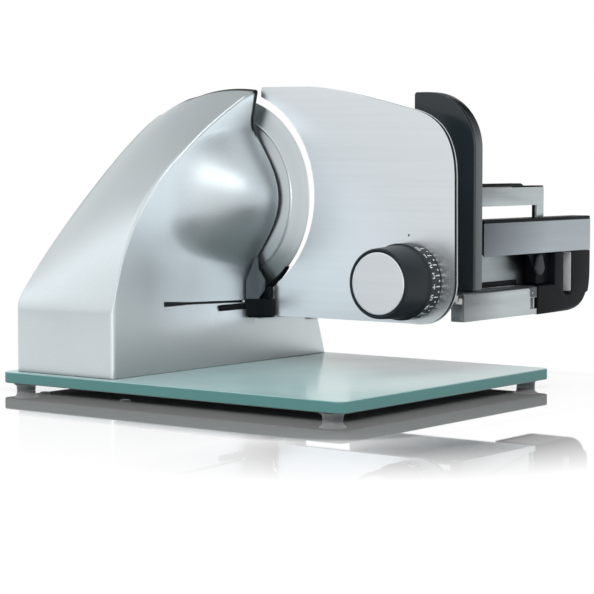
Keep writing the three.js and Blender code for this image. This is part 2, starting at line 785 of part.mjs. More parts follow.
// Worm wheel with straight-flanked teeth that lean with the lead of the worm
function driveGear() {
  const step = 2 * Math.PI / WHEEL_TEETH;
  const root = WHEEL_RADIUS - TOOTH_IN;
  const tip = WHEEL_RADIUS + TOOTH_OUT;
  const points = [];
  for (let i = 0; i < WHEEL_TEETH; i += 1) {
    const middle = (i + 0.5) * step + Math.PI;
    const at = (radius, halfWidth, side) => {
      const angle = middle + side * halfWidth / radius;
      points.push([radius * Math.cos(angle), radius * Math.sin(angle)]);
    };
    at(root, TOOTH_ROOT / 2, -1);
    at(tip, TOOTH_TIP / 2, -1);
    at(tip, TOOTH_TIP / 2, 1);
    at(root, TOOTH_ROOT / 2, 1);
  }
  const outline = outlineOf(points);
  outline.holes.push(circleOutline(0, 0, SPINDLE_DIAMETER / 2 + SEAT));
  const geometry = alongY(outline, -WHEEL_WIDTH / 2, WHEEL_WIDTH / 2);
  const lead = wormPitch / (2 * Math.PI * WORM_RADIUS);
  const position = geometry.getAttribute('position');
  const point = new THREE.Vector3();
  const axis = new THREE.Vector3(0, 1, 0);
  for (let i = 0; i < position.count; i += 1) {
    point.fromBufferAttribute(position, i);
    point.applyAxisAngle(axis, point.y * lead / WHEEL_RADIUS);
    position.setXYZ(i, point.x, point.y, point.z);
  }
  return piece('drive_gear', geometry.translate(0, WHEEL_Y, 0), 'nylon');
}

function spindleBearing(name, front) {
  const [inner, outer] = [SPINDLE_DIAMETER / 2 + SEAT, BEARING_OUTER / 2 - SEAT];
  const profile = tubeProfile(inner, outer, front, front + BEARING_WIDTH);
  return piece(name, turned(profile, 32), 'steel');
}

function bladeGuard() {
  const angle = (degrees) => THREE.MathUtils.degToRad(degrees);
  const sector = (inner, outer, from, to) => {
    const shape = new THREE.Shape();
    shape.absarc(0, 0, outer, angle(GUARD_FROM), angle(GUARD_TO));
    shape.absarc(0, 0, inner, angle(GUARD_TO), angle(GUARD_FROM), true);
    shape.closePath();
    return toSolid(alongY(shape, from, to, 0, 16));
  };
  const rim = BLADE_RADIUS + GUARD_CLEARANCE;
  const seat = TOWER_BACK + SEAT;
  const plate = sector(GUARD_INNER, rim + GUARD_WALL, seat, seat + 1.3);
  const wall = sector(rim, rim + GUARD_WALL, seat, seat + GUARD_HEIGHT);
  return piece('blade_guard', plate.add(wall), 'casting');
}

// Motor, standing along Z beside the worm wheel

function motorStator() {
  const top = STATOR_BASE + STATOR_HEIGHT;
  const [inner, outer] = [STATOR_BORE / 2, STATOR_DIAMETER / 2];
  const profile = [
    [inner, STATOR_BASE], [outer - 2, STATOR_BASE], [outer, STATOR_BASE + 2],
    [outer, top - 2], [outer - 2, top], [inner, top],
  ];
  return piece('motor_stator', upright(profile, motorX, WHEEL_Y), 'copper');
}

function motorBracket() {
  const bearing = MOTOR_BEARING_OUTER / 2;
  const half = STATOR_DIAMETER / 2;
  const top = STATOR_BASE - SEAT;
  const wall = TOWER_LEFT + TOWER_WALL + SEAT;
  const outline = roundedOutline(wall, WHEEL_Y - half, motorX + half, WHEEL_Y + half, 3);
  const plate = toSolid(alongZ(outline, top - BRACKET_THICKNESS, top, 0, 3));
  const flange = block(
    wall, WHEEL_Y - half + BRACKET_THICKNESS, top - BRACKET_FLANGE,
    wall + BRACKET_THICKNESS, WHEEL_Y + half - BRACKET_THICKNESS, top - 1,
  );
  const tube = (radius, low, high) => toSolid(upright(tubeOf(radius, low, high), motorX, WHEEL_Y, 24));
  const cupFloor = top - MOTOR_BEARING_WIDTH - BRACKET_THICKNESS;
  const cup = tube(bearing + BRACKET_THICKNESS, cupFloor, top);
  const seat = tube(bearing, top - MOTOR_BEARING_WIDTH - SEAT, top + 1);
  const hole = tube(SHAFT_DIAMETER, cupFloor - 1, top + 1);
  return piece('motor_bracket', cut(joined([plate, flange, cup]), [seat, hole]), 'steel');
}

function motorRotor() {
  const half = SHAFT_DIAMETER / 2;
  const low = STATOR_BASE + BRACKET_THICKNESS;
  const high = STATOR_BASE + STATOR_HEIGHT - BRACKET_THICKNESS;
  const wormLow = AXIS_Z - WORM_LENGTH / 2 - SEAT;
  const end = STATOR_BASE - MOTOR_BEARING_WIDTH - 2;
  const neck = half + SHAFT_SHOULDER;
  const profile = [
    [0, end], [half, end], [half, low], [ROTOR_DIAMETER / 2, low],
    [ROTOR_DIAMETER / 2, high], [neck, high], [neck, wormLow], [0, wormLow],
  ];
  return piece('motor_rotor', upright(profile, motorX, WHEEL_Y, 32), 'steel');
}

// Worm: one ridge that winds round the shaft; the radius rises and falls with height and angle
function worm() {
  const rows = 30;
  const columns = 12;
  const half = SHAFT_DIAMETER / 2;
  const radiusAt = (height, angle) => {
    const phase = height / wormPitch - angle / (2 * Math.PI);
    const away = Math.abs(phase - Math.round(phase)) * wormPitch;
    const slope = THREE.MathUtils.clamp((WORM_RIDGE_HALF - away) / WORM_FLANK, 0, 1);
    return WORM_ROOT + (WORM_TIP - WORM_ROOT) * slope;
  };
  const ring = (height, radius) => Array.from({ length: columns }, (_, i) => {
    const angle = 2 * Math.PI * i / columns;
    const r = radius ?? radiusAt(height, angle);
    return new THREE.Vector3(r * Math.cos(angle), r * Math.sin(angle), height);
  });
  const low = -WORM_LENGTH / 2;
  const rings = [];
  for (let row = 0; row <= rows; row += 1) {
    rings.push(ring(low + WORM_LENGTH * row / rows));
  }
  const journal = WORM_LENGTH / 2 + WORM_COLLAR + MOTOR_BEARING_WIDTH;
  rings.push(ring(WORM_LENGTH / 2, half), ring(journal, half));
  const solid = loftUpright(rings);
  return piece('worm', solid.translate([motorX, WHEEL_Y, AXIS_Z]), 'steel');
}

// The loft with its rings level instead of upright
function loftUpright(rings) {
  const tilted = rings.map((ring) => ring.map((p) => new THREE.Vector3(p.x, p.z, -p.y)).reverse());
  return toSolid(toGeometry(loft(tilted)).rotateX(Math.PI / 2));
}

function motorBearing(name, low) {
  const [inner, outer] = [SHAFT_DIAMETER / 2 + SEAT, MOTOR_BEARING_OUTER / 2 - SEAT];
  const profile = tubeProfile(inner, outer, low, low + MOTOR_BEARING_WIDTH);
  return piece(name, upright(profile, motorX, WHEEL_Y, 24), 'steel');
}

// Stop plate with its arm, guide and dial

function stopPlate() {
  const shape = new THREE.Shape();
  const start = Math.acos((STOP_LEFT - CUT_X) / CUT_RADIUS);
  const end = Math.asin(Math.max((STOP_BOTTOM + STOP_TOE - CUT_Z) / CUT_RADIUS, -0.82));
  const low = new THREE.Vector2(CUT_X + CUT_RADIUS * Math.cos(end), CUT_Z + CUT_RADIUS * Math.sin(end));
  const toe = low.x - STOP_TOE / 2;
  const crest = new THREE.Vector2(STOP_LEFT + STOP_CREST, STOP_TOP - STOP_CREST_DROP);
  const shoulder = new THREE.Vector2(STOP_RIGHT - STOP_SHOULDER_IN, STOP_TOP - STOP_SHOULDER_DOWN);
  const foot = new THREE.Vector2(STOP_RIGHT - STOP_LOW_CORNER, STOP_BOTTOM + STOP_LOW_CORNER);
  const pull = STOP_LOW_CORNER * 0.44;
  shape.moveTo(crest.x, crest.y);
  shape.lineTo(STOP_LEFT + STOP_TIP, STOP_TOP);
  shape.lineTo(STOP_LEFT, STOP_TOP - STOP_TIP);
  shape.absarc(CUT_X, CUT_Z, CUT_RADIUS, start, end, true);
  shape.lineTo(toe, STOP_BOTTOM + STOP_TOE / 2);
  shape.quadraticCurveTo(toe - 1, STOP_BOTTOM, low.x, STOP_BOTTOM);
  shape.lineTo(foot.x, STOP_BOTTOM);
  shape.bezierCurveTo(STOP_RIGHT - pull, STOP_BOTTOM, STOP_RIGHT, STOP_BOTTOM + pull, STOP_RIGHT, foot.y);
  shape.lineTo(STOP_RIGHT - STOP_CREST_DROP, STOP_TOP - STOP_HIGH_CORNER);
  shape.bezierCurveTo(
    STOP_RIGHT - STOP_CREST_DROP, STOP_TOP - STOP_HIGH_CORNER * 0.45,
    STOP_RIGHT - STOP_SHOULDER_IN * 0.48, STOP_TOP - STOP_SHOULDER_DOWN * 1.24,
    shoulder.x, shoulder.y,
  );
  shape.bezierCurveTo(
    STOP_RIGHT - STOP_SHOULDER_IN * 1.77, STOP_TOP - STOP_SHOULDER_DOWN * 0.58,
    STOP_RIGHT - STOP_SHOULDER_IN * 2.64, STOP_TOP - STOP_TIP,
    crest.x, crest.y,
  );
  const plate = toSolid(alongY(shape, stopFront, STOP_FACE, STOP_EDGE, 12));
  const hole = turned(tubeOf(DIAL_PIN_DIAMETER / 2 + SEAT, stopFront - 1, STOP_FACE + 1), 24);
  return piece('stop_plate', plate.subtract(toSolid(hole.translate(DIAL_X, 0, DIAL_Z))), 'brushed');
}

function stopArm() {
  const top = tongueBottom + ARM_HEIGHT;
  const cheekLeft = TOWER_RIGHT + STRIP_PROUD + RUN;
  const back = STOP_FACE + SEAT;
  const tongue = block(TONGUE_LEFT, ARM_FRONT, tongueBottom, TONGUE_RIGHT, TONGUE_BACK, top);
  const cross = block(TONGUE_LEFT, ARM_FRONT, tongueBottom, CHEEK_RIGHT, ARM_BACK, top);
  const cheek = toSolid(alongX(
    roundedOutline(CHEEK_FRONT, CHEEK_BOTTOM, ARM_BACK, CHEEK_TOP, 4), cheekLeft, CHEEK_RIGHT, 0.8, 3,
  ));
  const bar = block(CHEEK_RIGHT - 4, back, STOP_BOTTOM + 2, ARM_BAR_RIGHT, ARM_FRONT + 1, ARM_BAR_TOP);
  return piece('stop_arm', joined([tongue, cross, cheek, bar]), 'plastic');
}

function stopGuide() {
  const floor = BASE_HEIGHT + SEAT;
  const inner = floor + GUIDE_FLOOR;
  const top = tongueBottom + ARM_HEIGHT - 1;
  const back = BASE_BACK - BASE_LEAN * BASE_HEIGHT - 3;
  const [left, right] = [guideLeft, guideRight];
  const outline = outlineOf([
    [left, floor], [right, floor], [right, top], [right - GUIDE_CHEEK, top], [right - GUIDE_CHEEK, inner],
    [left + GUIDE_CHEEK, inner], [left + GUIDE_CHEEK, top], [left, top],
  ]);
  return piece('stop_guide', alongY(outline, GUIDE_FRONT, back), 'plastic');
}

function stopScrew(name, x) {
  const z = (STOP_BOTTOM + 2 + ARM_BAR_TOP) / 2;
  const under = ARM_FRONT + 1 + SEAT;
  const half = SCREW_HEAD / 2;
  const top = under + SCREW_HEAD_HEIGHT - 0.6;
  const profile = [[0, under], [half, under], [half, top - 0.6], [half - 1, top], [0, top]];
  return piece(name, turned(profile, SMALL_ROUND).translate(x, 0, z), 'steel');
}

function dialKnob() {
  const back = stopFront - SEAT;
  const front = stopFront - DIAL_REACH;
  const neck = back - DIAL_SKIRT_WIDTH;
  const pin = DIAL_PIN_DIAMETER / 2;
  const profile = [
    [0, front + DIAL_CAP_DEPTH], [DIAL_CAP_RADIUS + SEAT, front + DIAL_CAP_DEPTH],
    [DIAL_CAP_RADIUS + SEAT, front + 0.8], [DIAL_FRONT_RADIUS - 0.8, front], [DIAL_FRONT_RADIUS, front + 1.2],
    [DIAL_NECK_RADIUS, neck - 1], [DIAL_SKIRT_RADIUS, neck], [DIAL_SKIRT_RADIUS, back],
    [pin, back], [pin, STOP_FACE + 1], [0, STOP_FACE + 1],
  ];
  return piece('dial_knob', turned(profile, 40), 'plastic');
}

function dialCap() {
  const front = stopFront - DIAL_REACH;
  const back = front + DIAL_CAP_DEPTH - SEAT;
  const profile = [[0, front], [DIAL_CAP_RADIUS - 0.6, front], [DIAL_CAP_RADIUS, front + 0.6],
    [DIAL_CAP_RADIUS, back], [0, back]];
  return piece('dial_cap', turned(profile, 40), 'brushed');
}

// Rail and carriage

// Rail with a broad head below and a web that hangs from the table
function carriageRail() {
  const half = RAIL_WIDTH / 2;
  const web = RAIL_WEB / 2;
  const top = tableUnder - SEAT;
  const outline = outlineOf([
    [-half, railBottom], [half, railBottom], [half, railHead], [web, railHead],
    [web, top], [-web, top], [-web, railHead], [-half, railHead],
  ].map(([y, z]) => [RAIL_Y + y, z]));
  return piece('carriage_rail', alongX(outline, RAIL_LEFT, RAIL_RIGHT), 'brushed');
}

// Glide: a channel on the base whose lips close over the head of the rail
function carriageGlide(name, x) {
  const half = RAIL_WIDTH / 2 + RUN;
  const web = RAIL_WEB / 2 + RUN;
  const low = pedestalTop + SEAT;
  const floor = low + GLIDE_FLOOR;
  const lip = railHead + RUN;
  const top = lip + GLIDE_LIP;
  const outline = outlineOf([
    [-glideReach, low], [glideReach, low], [glideReach, top], [web, top], [web, lip], [half, lip],
    [half, floor], [-half, floor], [-half, lip], [-web, lip], [-web, top], [-glideReach, top],
  ].map(([y, z]) => [RAIL_Y + y, z]));
  return piece(name, alongX(outline, x, x + GLIDE_LENGTH), 'nylon');
}

function carriageTable() {
  const sheet = TABLE_SHEET;
  const top = toSolid(alongZ(
    roundedOutline(TABLE_LEFT, TABLE_FRONT, TABLE_RIGHT, TABLE_BACK, 1), tableUnder, TABLE_TOP, 0, 2,
  ));
  const under = TABLE_TOP - sheet / 2;
  const lip = TABLE_TOP - TABLE_LIP;
  const end = block(TABLE_RIGHT - sheet, TABLE_FRONT, TABLE_BOTTOM, TABLE_RIGHT, TABLE_BACK, under);
  const frontLip = block(TABLE_LEFT, TABLE_FRONT, lip, TABLE_RIGHT, TABLE_FRONT + sheet, under);
  const backLip = block(TABLE_LEFT, TABLE_BACK - sheet, TABLE_BOTTOM, TABLE_RIGHT, TABLE_BACK, under);
  const returnFront = TABLE_FRONT + RUN;
  const frontReturn = block(TABLE_RIGHT - TABLE_RETURN, returnFront, TABLE_BOTTOM,
    TABLE_RIGHT, returnFront + sheet, under);
  const notch = block(TABLE_RIGHT - 2 * sheet, TABLE_BACK - NOTCH_LENGTH, NOTCH_BOTTOM,
    TABLE_RIGHT + 1, TABLE_BACK + 1, NOTCH_TOP);
  const sheets = joined([top, end, frontLip, backLip, frontReturn]);
  return piece('carriage_table', sheets.subtract(notch), 'steel');
}

function backWall() {
  const back = HAND_GUARD_STEP - SEAT;
  const outline = roundedOutline(GRIP_RAIL_FRONT, TABLE_TOP + SEAT, back, GRIP_RAIL_TOP - 1, 3);
  return piece('back_wall', alongX(outline, WALL_X, WALL_X + WALL_SHEET, 0, 3), 'steel');
}

// Black core behind the steel band, with the track for the foot of the pusher on its top
function gripRail() {
  const outline = roundedOutline(
    GRIP_RAIL_FRONT, GRIP_RAIL_BOTTOM + BAND_SHEET, GRIP_RAIL_BACK, GRIP_RAIL_TOP, BAND_CORNER,
  );
  const core = toSolid(alongX(outline, coreLeft, bandBack - SEAT, 0, 3));
  const middle = (SADDLE_LEFT + SADDLE_RIGHT) / 2;
  const width = (SADDLE_RIGHT - SADDLE_LEFT) / 2 - SADDLE_SHEET;
  const track = block(
    middle - width / 2 - RUN, SADDLE_BACK - SADDLE_LEG - PUSHER_TRAVEL - 2, GRIP_RAIL_TOP - TRACK_DEPTH,
    middle + width / 2 + RUN, SADDLE_BACK + 2, GRIP_RAIL_TOP + 1,
  );
  return piece('grip_rail', core.subtract(track), 'plastic');
}

function steelBand() {
  const outline = roundedOutline(
    GRIP_RAIL_FRONT, GRIP_RAIL_BOTTOM, GRIP_RAIL_BACK, GRIP_RAIL_TOP, BAND_CORNER,
  );
  return piece('steel_band', alongX(outline, bandBack, TABLE_RIGHT, 0.4, 3), 'steel');
}

// Hand guard under the far end of the grip rail: a thick plate with a round lower corner, a step for the grip
// and a deep slot in its outer face that runs up to the rail
function handGuard() {
  const top = GRIP_RAIL_BOTTOM - SEAT;
  const step = TABLE_TOP;
  const shape = new THREE.Shape();
  shape.moveTo(HAND_GUARD_FRONT, HAND_GUARD_BOTTOM);
  shape.lineTo(GRIP_RAIL_BACK - HAND_GUARD_CURVE, HAND_GUARD_BOTTOM);
  shape.absellipse(GRIP_RAIL_BACK - HAND_GUARD_CURVE, HAND_GUARD_BOTTOM + HAND_GUARD_CURVE * 0.7,
    HAND_GUARD_CURVE, HAND_GUARD_CURVE * 0.7, -Math.PI / 2, 0);
  shape.lineTo(GRIP_RAIL_BACK, top);
  shape.lineTo(HAND_GUARD_STEP, top);
  shape.lineTo(HAND_GUARD_STEP, step);
  shape.lineTo(HAND_GUARD_FRONT, step);
  shape.closePath();
  const back = GRIP_RAIL_BACK - HAND_GUARD_WALL;
  const slot = roundedOutline(back - HAND_SLOT_WIDTH, HAND_SLOT_BOTTOM, back, 2 * top - HAND_SLOT_BOTTOM, 5);
  const plate = toSolid(alongX(shape, GUARD_LEFT, TABLE_RIGHT, 1.2, 8));
  const opening = toSolid(alongX(slot, GUARD_LEFT + HAND_GUARD_BACK, TABLE_RIGHT + 1, 0, 4));
  return piece('hand_guard', plate.subtract(opening), 'plastic');
}

// Grip in the step of the hand guard, with a funnel in relief behind the lever
function handGrip() {
  const left = WALL_X + WALL_SHEET + SEAT;
  const top = GRIP_RAIL_BOTTOM - SEAT;
  const relief = leverFace - LEVER_THICKNESS - SEAT;
  const outline = roundedOutline(GRIP_FRONT, TABLE_TOP + SEAT, HAND_GUARD_STEP - SEAT, top, 2);
  const body = toSolid(alongX(outline, left, relief - GRIP_RELIEF, 0, 3));
  const funnel = toSolid(alongX(outlineOf([
    [LEVER_Y - FUNNEL_FOOT, top - FUNNEL_HEIGHT], [LEVER_Y + FUNNEL_FOOT, top - FUNNEL_HEIGHT],
    [LEVER_Y + FUNNEL_TOP, top - 0.5], [LEVER_Y - FUNNEL_TOP, top - 0.5],
  ]), left + 1, relief));
  const hole = toSolid(alongX(circleOutline(LEVER_Y, LEVER_Z, LEVER_PIN_DIAMETER / 2 + SEAT),
    left + 2, TABLE_RIGHT));
  return piece('hand_grip', body.add(funnel).subtract(hole), 'plastic');
}

function lockLever() {
  const y = LEVER_Y;
  const shape = new THREE.Shape();
  shape.absarc(y, LEVER_Z, LEVER_HEAD, 0, Math.PI);
  shape.lineTo(y - LEVER_TIP, LEVER_Z - LEVER_LENGTH);
  shape.absarc(y, LEVER_Z - LEVER_LENGTH, LEVER_TIP, Math.PI, 2 * Math.PI);
  shape.closePath();
  const head = toSolid(alongX(shape, leverFace - LEVER_THICKNESS, leverFace, 0.8, 6));
  const round = circleOutline(y, LEVER_Z, LEVER_PIN_DIAMETER / 2);
  const pin = toSolid(alongX(round, leverFace - 1 - LEVER_PIN_LENGTH, leverFace - 1));
  return piece('lock_lever', head.add(pin), 'lever');
}

// Pusher

function pusherPlate() {
  const bottom = TABLE_TOP + RUN;
  const shape = new THREE.Shape();
  shape.moveTo(PUSHER_LEFT, bottom);
  shape.lineTo(PUSHER_RIGHT, bottom);
  shape.lineTo(PUSHER_RIGHT, PUSHER_TOP - PUSHER_CORNER);
  shape.bezierCurveTo(
    PUSHER_RIGHT, PUSHER_TOP - PUSHER_CORNER * 0.45,
    PUSHER_RIGHT - PUSHER_CORNER * 0.45, PUSHER_TOP,
    PUSHER_RIGHT - PUSHER_CORNER, PUSHER_TOP,
  );
  shape.lineTo(PUSHER_LEFT, PUSHER_TOP);
  shape.closePath();
  const plate = toSolid(alongY(shape, PUSHER_FRONT, pusherBack, 0.8, 8));
  const groove = block(PUSHER_RIGHT - PUSHER_GROOVE, PUSHER_FRONT + 3, bottom - 1,
    PUSHER_RIGHT + 1, PUSHER_FRONT + 3 + 2 * PUSHER_GROOVE, PUSHER_TOP - PUSHER_CORNER);
  return piece('pusher_plate', plate.subtract(groove), 'plastic');
}

// Saddle: an upturned channel behind the pusher, with a leg that runs in the track of the grip rail
function pusherSaddle() {
  const front = pusherBack + SEAT;
  const sheet = SADDLE_SHEET;
  const body = block(SADDLE_LEFT, front, SADDLE_BOTTOM, SADDLE_RIGHT, SADDLE_BACK, SADDLE_TOP);
  const hollow = block(SADDLE_LEFT + sheet, front + sheet, SADDLE_BOTTOM - 1,
    SADDLE_RIGHT - sheet, SADDLE_BACK - sheet, SADDLE_TOP - sheet);
  const outerLeg = block(SADDLE_RIGHT - sheet, SADDLE_BACK - SADDLE_LEG, GRIP_RAIL_TOP + RUN,
    SADDLE_RIGHT, SADDLE_BACK, SADDLE_TOP - 1);
  const middle = (SADDLE_LEFT + SADDLE_RIGHT) / 2;
  const width = (SADDLE_RIGHT - SADDLE_LEFT) / 2 - sheet;
  const foot = block(middle - width / 2, SADDLE_BACK - SADDLE_LEG, GRIP_RAIL_TOP - TRACK_DEPTH + RUN,
    middle + width / 2, SADDLE_BACK, SADDLE_TOP - 1);
  return piece('pusher_saddle', joined([body.subtract(hollow), outerLeg, foot]), 'steel');
}

function saddlePad() {
  const base = SADDLE_TOP + SEAT;
  const outline = roundedOutline(SADDLE_LEFT + 0.5, pusherBack + SEAT, SADDLE_RIGHT - 0.5, PAD_BACK, 2);
  return piece('saddle_pad', alongZ(outline, base, base + PAD_HEIGHT, 0.8, 3), 'plastic');
}

// Switch and cable inlet

function switchFrame() {
  const half = SWITCH_LENGTH / 2;
  const high = SWITCH_HEIGHT / 2;
  const rim = toSolid(alongX(
    roundedOutline(SWITCH_Y - half, SWITCH_Z - high, SWITCH_Y + half, SWITCH_Z + high, 3),
    TOWER_LEFT - SEAT - SWITCH_PROUD, TOWER_LEFT - SEAT, 0.5, 3,
  ));
  const body = block(TOWER_LEFT - SEAT - 0.5, SWITCH_Y - half + SWITCH_RIM, SWITCH_Z - high + SWITCH_RIM,
    TOWER_LEFT + SWITCH_DEPTH, SWITCH_Y + half - SWITCH_RIM, SWITCH_Z + high - SWITCH_RIM);
  const well = block(TOWER_LEFT - 5, SWITCH_Y - half + SWITCH_RIM + 1.5, SWITCH_Z - high + SWITCH_RIM + 1.5,
    TOWER_LEFT + SWITCH_DEPTH - 4, SWITCH_Y + half - SWITCH_RIM - 1.5, SWITCH_Z + high - SWITCH_RIM - 1.5);
  return piece('switch_frame', rim.add(body).subtract(well), 'plastic');
}

// Rocker: its face is two slopes that meet over the pivot
function switchRocker() {
  const half = SWITCH_LENGTH / 2 - SWITCH_RIM - 1.5 - RUN;
  const high = SWITCH_HEIGHT / 2 - SWITCH_RIM - 1.5 - RUN;
  const face = TOWER_LEFT - SEAT - SWITCH_PROUD - ROCKER_PROUD;
  const back = TOWER_LEFT + SWITCH_DEPTH - ROCKER_ROOM;
  const outline = outlineOf([
    [face, -half], [face + 1.6, 0], [face, half], [back - 6, half - 1.5], [back, 0], [back - 6, -half + 1.5],
  ]);
  const solid = toSolid(alongZ(outline, SWITCH_Z - high, SWITCH_Z + high).translate(0, SWITCH_Y, 0));
  return piece('switch_rocker', solid, 'plastic');
}

function cableInlet() {
  const radius = INLET_DIAMETER / 2 - SEAT;
  const outside = TOWER_LEFT - SEAT;
  const inside = TOWER_LEFT + 2 * TOWER_WALL;
  const bore = INLET_BORE / 2;
  const collar = radius + INLET_COLLAR;
  const face = outside - INLET_COLLAR;
  const profile = [
    [bore, face], [collar - 1, face], [collar, face + 1], [collar, outside],
    [radius, outside], [radius, inside], [bore, inside],
  ];
  const geometry = turned(profile, 24).rotateZ(-Math.PI / 2).translate(0, INLET_Y, INLET_Z);
  return piece('cable_inlet', geometry, 'plastic');
}

// Assembly

function buildBase() {
  const group = new THREE.Group();
  group.add(glassPlate(), housing(), bottomCover(), fingerGuard(), guideStrip(), stopGuide());
  group.add(motorStator(), motorBracket(), switchFrame(), cableInlet());
  GLIDE_PLACES.forEach((x, i) => group.add(carriageGlide(`carriage_glide_${i + 1}`, x)));
  const footRows = [FOOT_END_INSET, PLATE_DEPTH - FOOT_END_INSET];
  const footPlaces = footRows.flatMap((y) => [
    [PLATE_LEFT + FOOT_SIDE_INSET, y], [PLATE_RIGHT - FOOT_SIDE_INSET, y],
  ]);
  footPlaces.forEach(([x, y], i) => group.add(foot(`foot_${i + 1}`, x, y)));
  screwPlaces.forEach(([x, y], i) => group.add(
    screw(`base_screw_${i + 1}`, x, y, -PLATE_THICKNESS - SEAT, PLATE_THICKNESS + SCREW_LENGTH),
  ));
  group.add(motorBearing('motor_bearing_lower', STATOR_BASE - SEAT - MOTOR_BEARING_WIDTH));
  group.add(motorBearing('motor_bearing_upper', shelfBottom + SEAT));
  return group;
}

function buildBladeUnit() {
  const group = new THREE.Group();
  group.position.set(AXIS_X, 0, AXIS_Z);
  const rear = TOWER_BACK - TOWER_WALL - BEARING_WIDTH - SEAT;
  group.add(bladeDisc(), spindle(), bladeLock(), driveGear(), bladeGuard());
  group.add(spindleBearing('spindle_bearing_rear', rear));
  group.add(spindleBearing('spindle_bearing_front', rear - BEARING_SPREAD));
  return group;
}

function buildStop() {
  const group = new THREE.Group();
  group.add(stopPlate(), stopArm());
  STOP_SCREW_PLACES.forEach((x, i) => group.add(stopScrew(`stop_screw_${i + 1}`, x)));
  const dial = new THREE.Group();
  dial.position.set(DIAL_X, 0, DIAL_Z);
  dial.add(dialKnob(), dialCap());
  group.add(dial);
  return group;
}

function buildCarriage() {
  const group = new THREE.Group();
  group.add(carriageTable(), carriageRail(), backWall(), gripRail(), steelBand());
  group.add(handGuard(), handGrip(), lockLever());
  group.add(pusherPlate(), pusherSaddle(), saddlePad());
  return group;
}

const slicer = new THREE.Group();
const machine = new THREE.Group();
machine.add(buildBase(), buildBladeUnit(), buildStop(), buildCarriage());
machine.add(motorRotor(), worm(), switchRocker());
slicer.add(machine);

// The part's own zero is the middle of its box, on the floor
slicer.updateMatrixWorld(true);
const box = new THREE.Box3().setFromObject(machine);
const middle = box.getCenter(new THREE.Vector3());
machine.position.set(-middle.x, -middle.y, -box.min.z);

export default slicer;
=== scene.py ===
"""Electric food slicer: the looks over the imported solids, piece by piece as the machine is put together."""

import bmesh
import bpy
import numpy as np
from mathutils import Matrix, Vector


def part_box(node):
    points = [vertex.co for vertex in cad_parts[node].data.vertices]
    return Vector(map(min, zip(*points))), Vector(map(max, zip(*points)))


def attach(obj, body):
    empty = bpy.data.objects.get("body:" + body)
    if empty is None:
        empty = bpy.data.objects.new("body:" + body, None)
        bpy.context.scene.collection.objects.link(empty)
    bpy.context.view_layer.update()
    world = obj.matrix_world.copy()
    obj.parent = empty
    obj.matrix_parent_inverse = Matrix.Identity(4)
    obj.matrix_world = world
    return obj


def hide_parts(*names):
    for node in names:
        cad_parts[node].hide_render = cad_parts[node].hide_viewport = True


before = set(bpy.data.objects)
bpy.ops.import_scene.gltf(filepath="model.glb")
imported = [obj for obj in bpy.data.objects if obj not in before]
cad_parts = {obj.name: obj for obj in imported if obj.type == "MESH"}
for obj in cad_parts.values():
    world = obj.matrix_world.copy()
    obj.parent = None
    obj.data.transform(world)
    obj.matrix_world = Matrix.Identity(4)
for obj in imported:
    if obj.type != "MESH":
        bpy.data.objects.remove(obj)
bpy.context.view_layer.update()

# Glass plate. Thick tinted plate glass with ground edges, lacquered underneath so that it shows its own
# colour. Its top is painted lighter than its edges as a painted reflection, and its underside near black as
# painted shade. Everything stands on it, and the slices fall on its free right half. Metal and the floor
# mirror a duller copy of it, a painted reflection with a darker top and a lighter underside.
PLATE_LEFT, PLATE_RIGHT, PLATE_DEPTH = -6.5, 340.0, 297.0
PLATE_THICKNESS, PLATE_CORNER, PLATE_EDGE = 9.0, 8.0, 0.9
# The top colour is lighter than the edge as a painted reflection; the underside is near black as painted
# shade.
GLASS_TOP_SHEEN, GLASS_EDGE, GLASS_UNDER_SHADE = (0.345, 0.52, 0.52), (0.105, 0.26, 0.255), (0.05, 0.066, 0.066)
# Colours of a painted reflection: metal and the floor mirror the plate in these, darker on top and lighter
# underneath.
PAINTED_MIRROR_TOP, PAINTED_MIRROR_EDGE, PAINTED_MIRROR_UNDER = (0.25, 0.29, 0.29), (0.095, 0.115, 0.112), (0.095, 0.092, 0.092)
zero = np.array(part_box("glass_plate")[0]) - np.array((PLATE_LEFT, 0, -PLATE_THICKNESS)) / 1000


def place(points):
    """Millimetres from the modelling zero, on the upper face of the glass, to metres in the part's
    frame."""
    return zero + np.asarray(points, float) / 1000


def level(axis, distance):
    """One coordinate of a place, for a material: millimetres along axis 0, 1 or 2 to metres in the part's
    frame."""
    return float(zero[axis] + distance / 1000)


def grid_faces(rows, columns, wrap_rows=False):
    """Four-sided faces between neighbours of a grid of closed rows, whose point (r, c) is number r *
    columns + c."""
    r = np.arange(rows if wrap_rows else rows - 1)[:, None]
    c = np.arange(columns)[None, :]
    down, across = (r + 1) % rows, (c + 1) % columns
    corners = [r * columns + c, r * columns + across, down * columns + across, down * columns + c]
    return np.stack(corners, -1).reshape(-1, 4).tolist()


def capped_faces(rows, columns):
    """Faces of a tube of rows of points, with a flat face at either end; gives the numbers of those two
    too."""
    faces = grid_faces(rows, columns)
    ends = [list(range(columns)), list(range((rows - 1) * columns, rows * columns))]
    return faces + ends, [len(faces), len(faces) + 1]


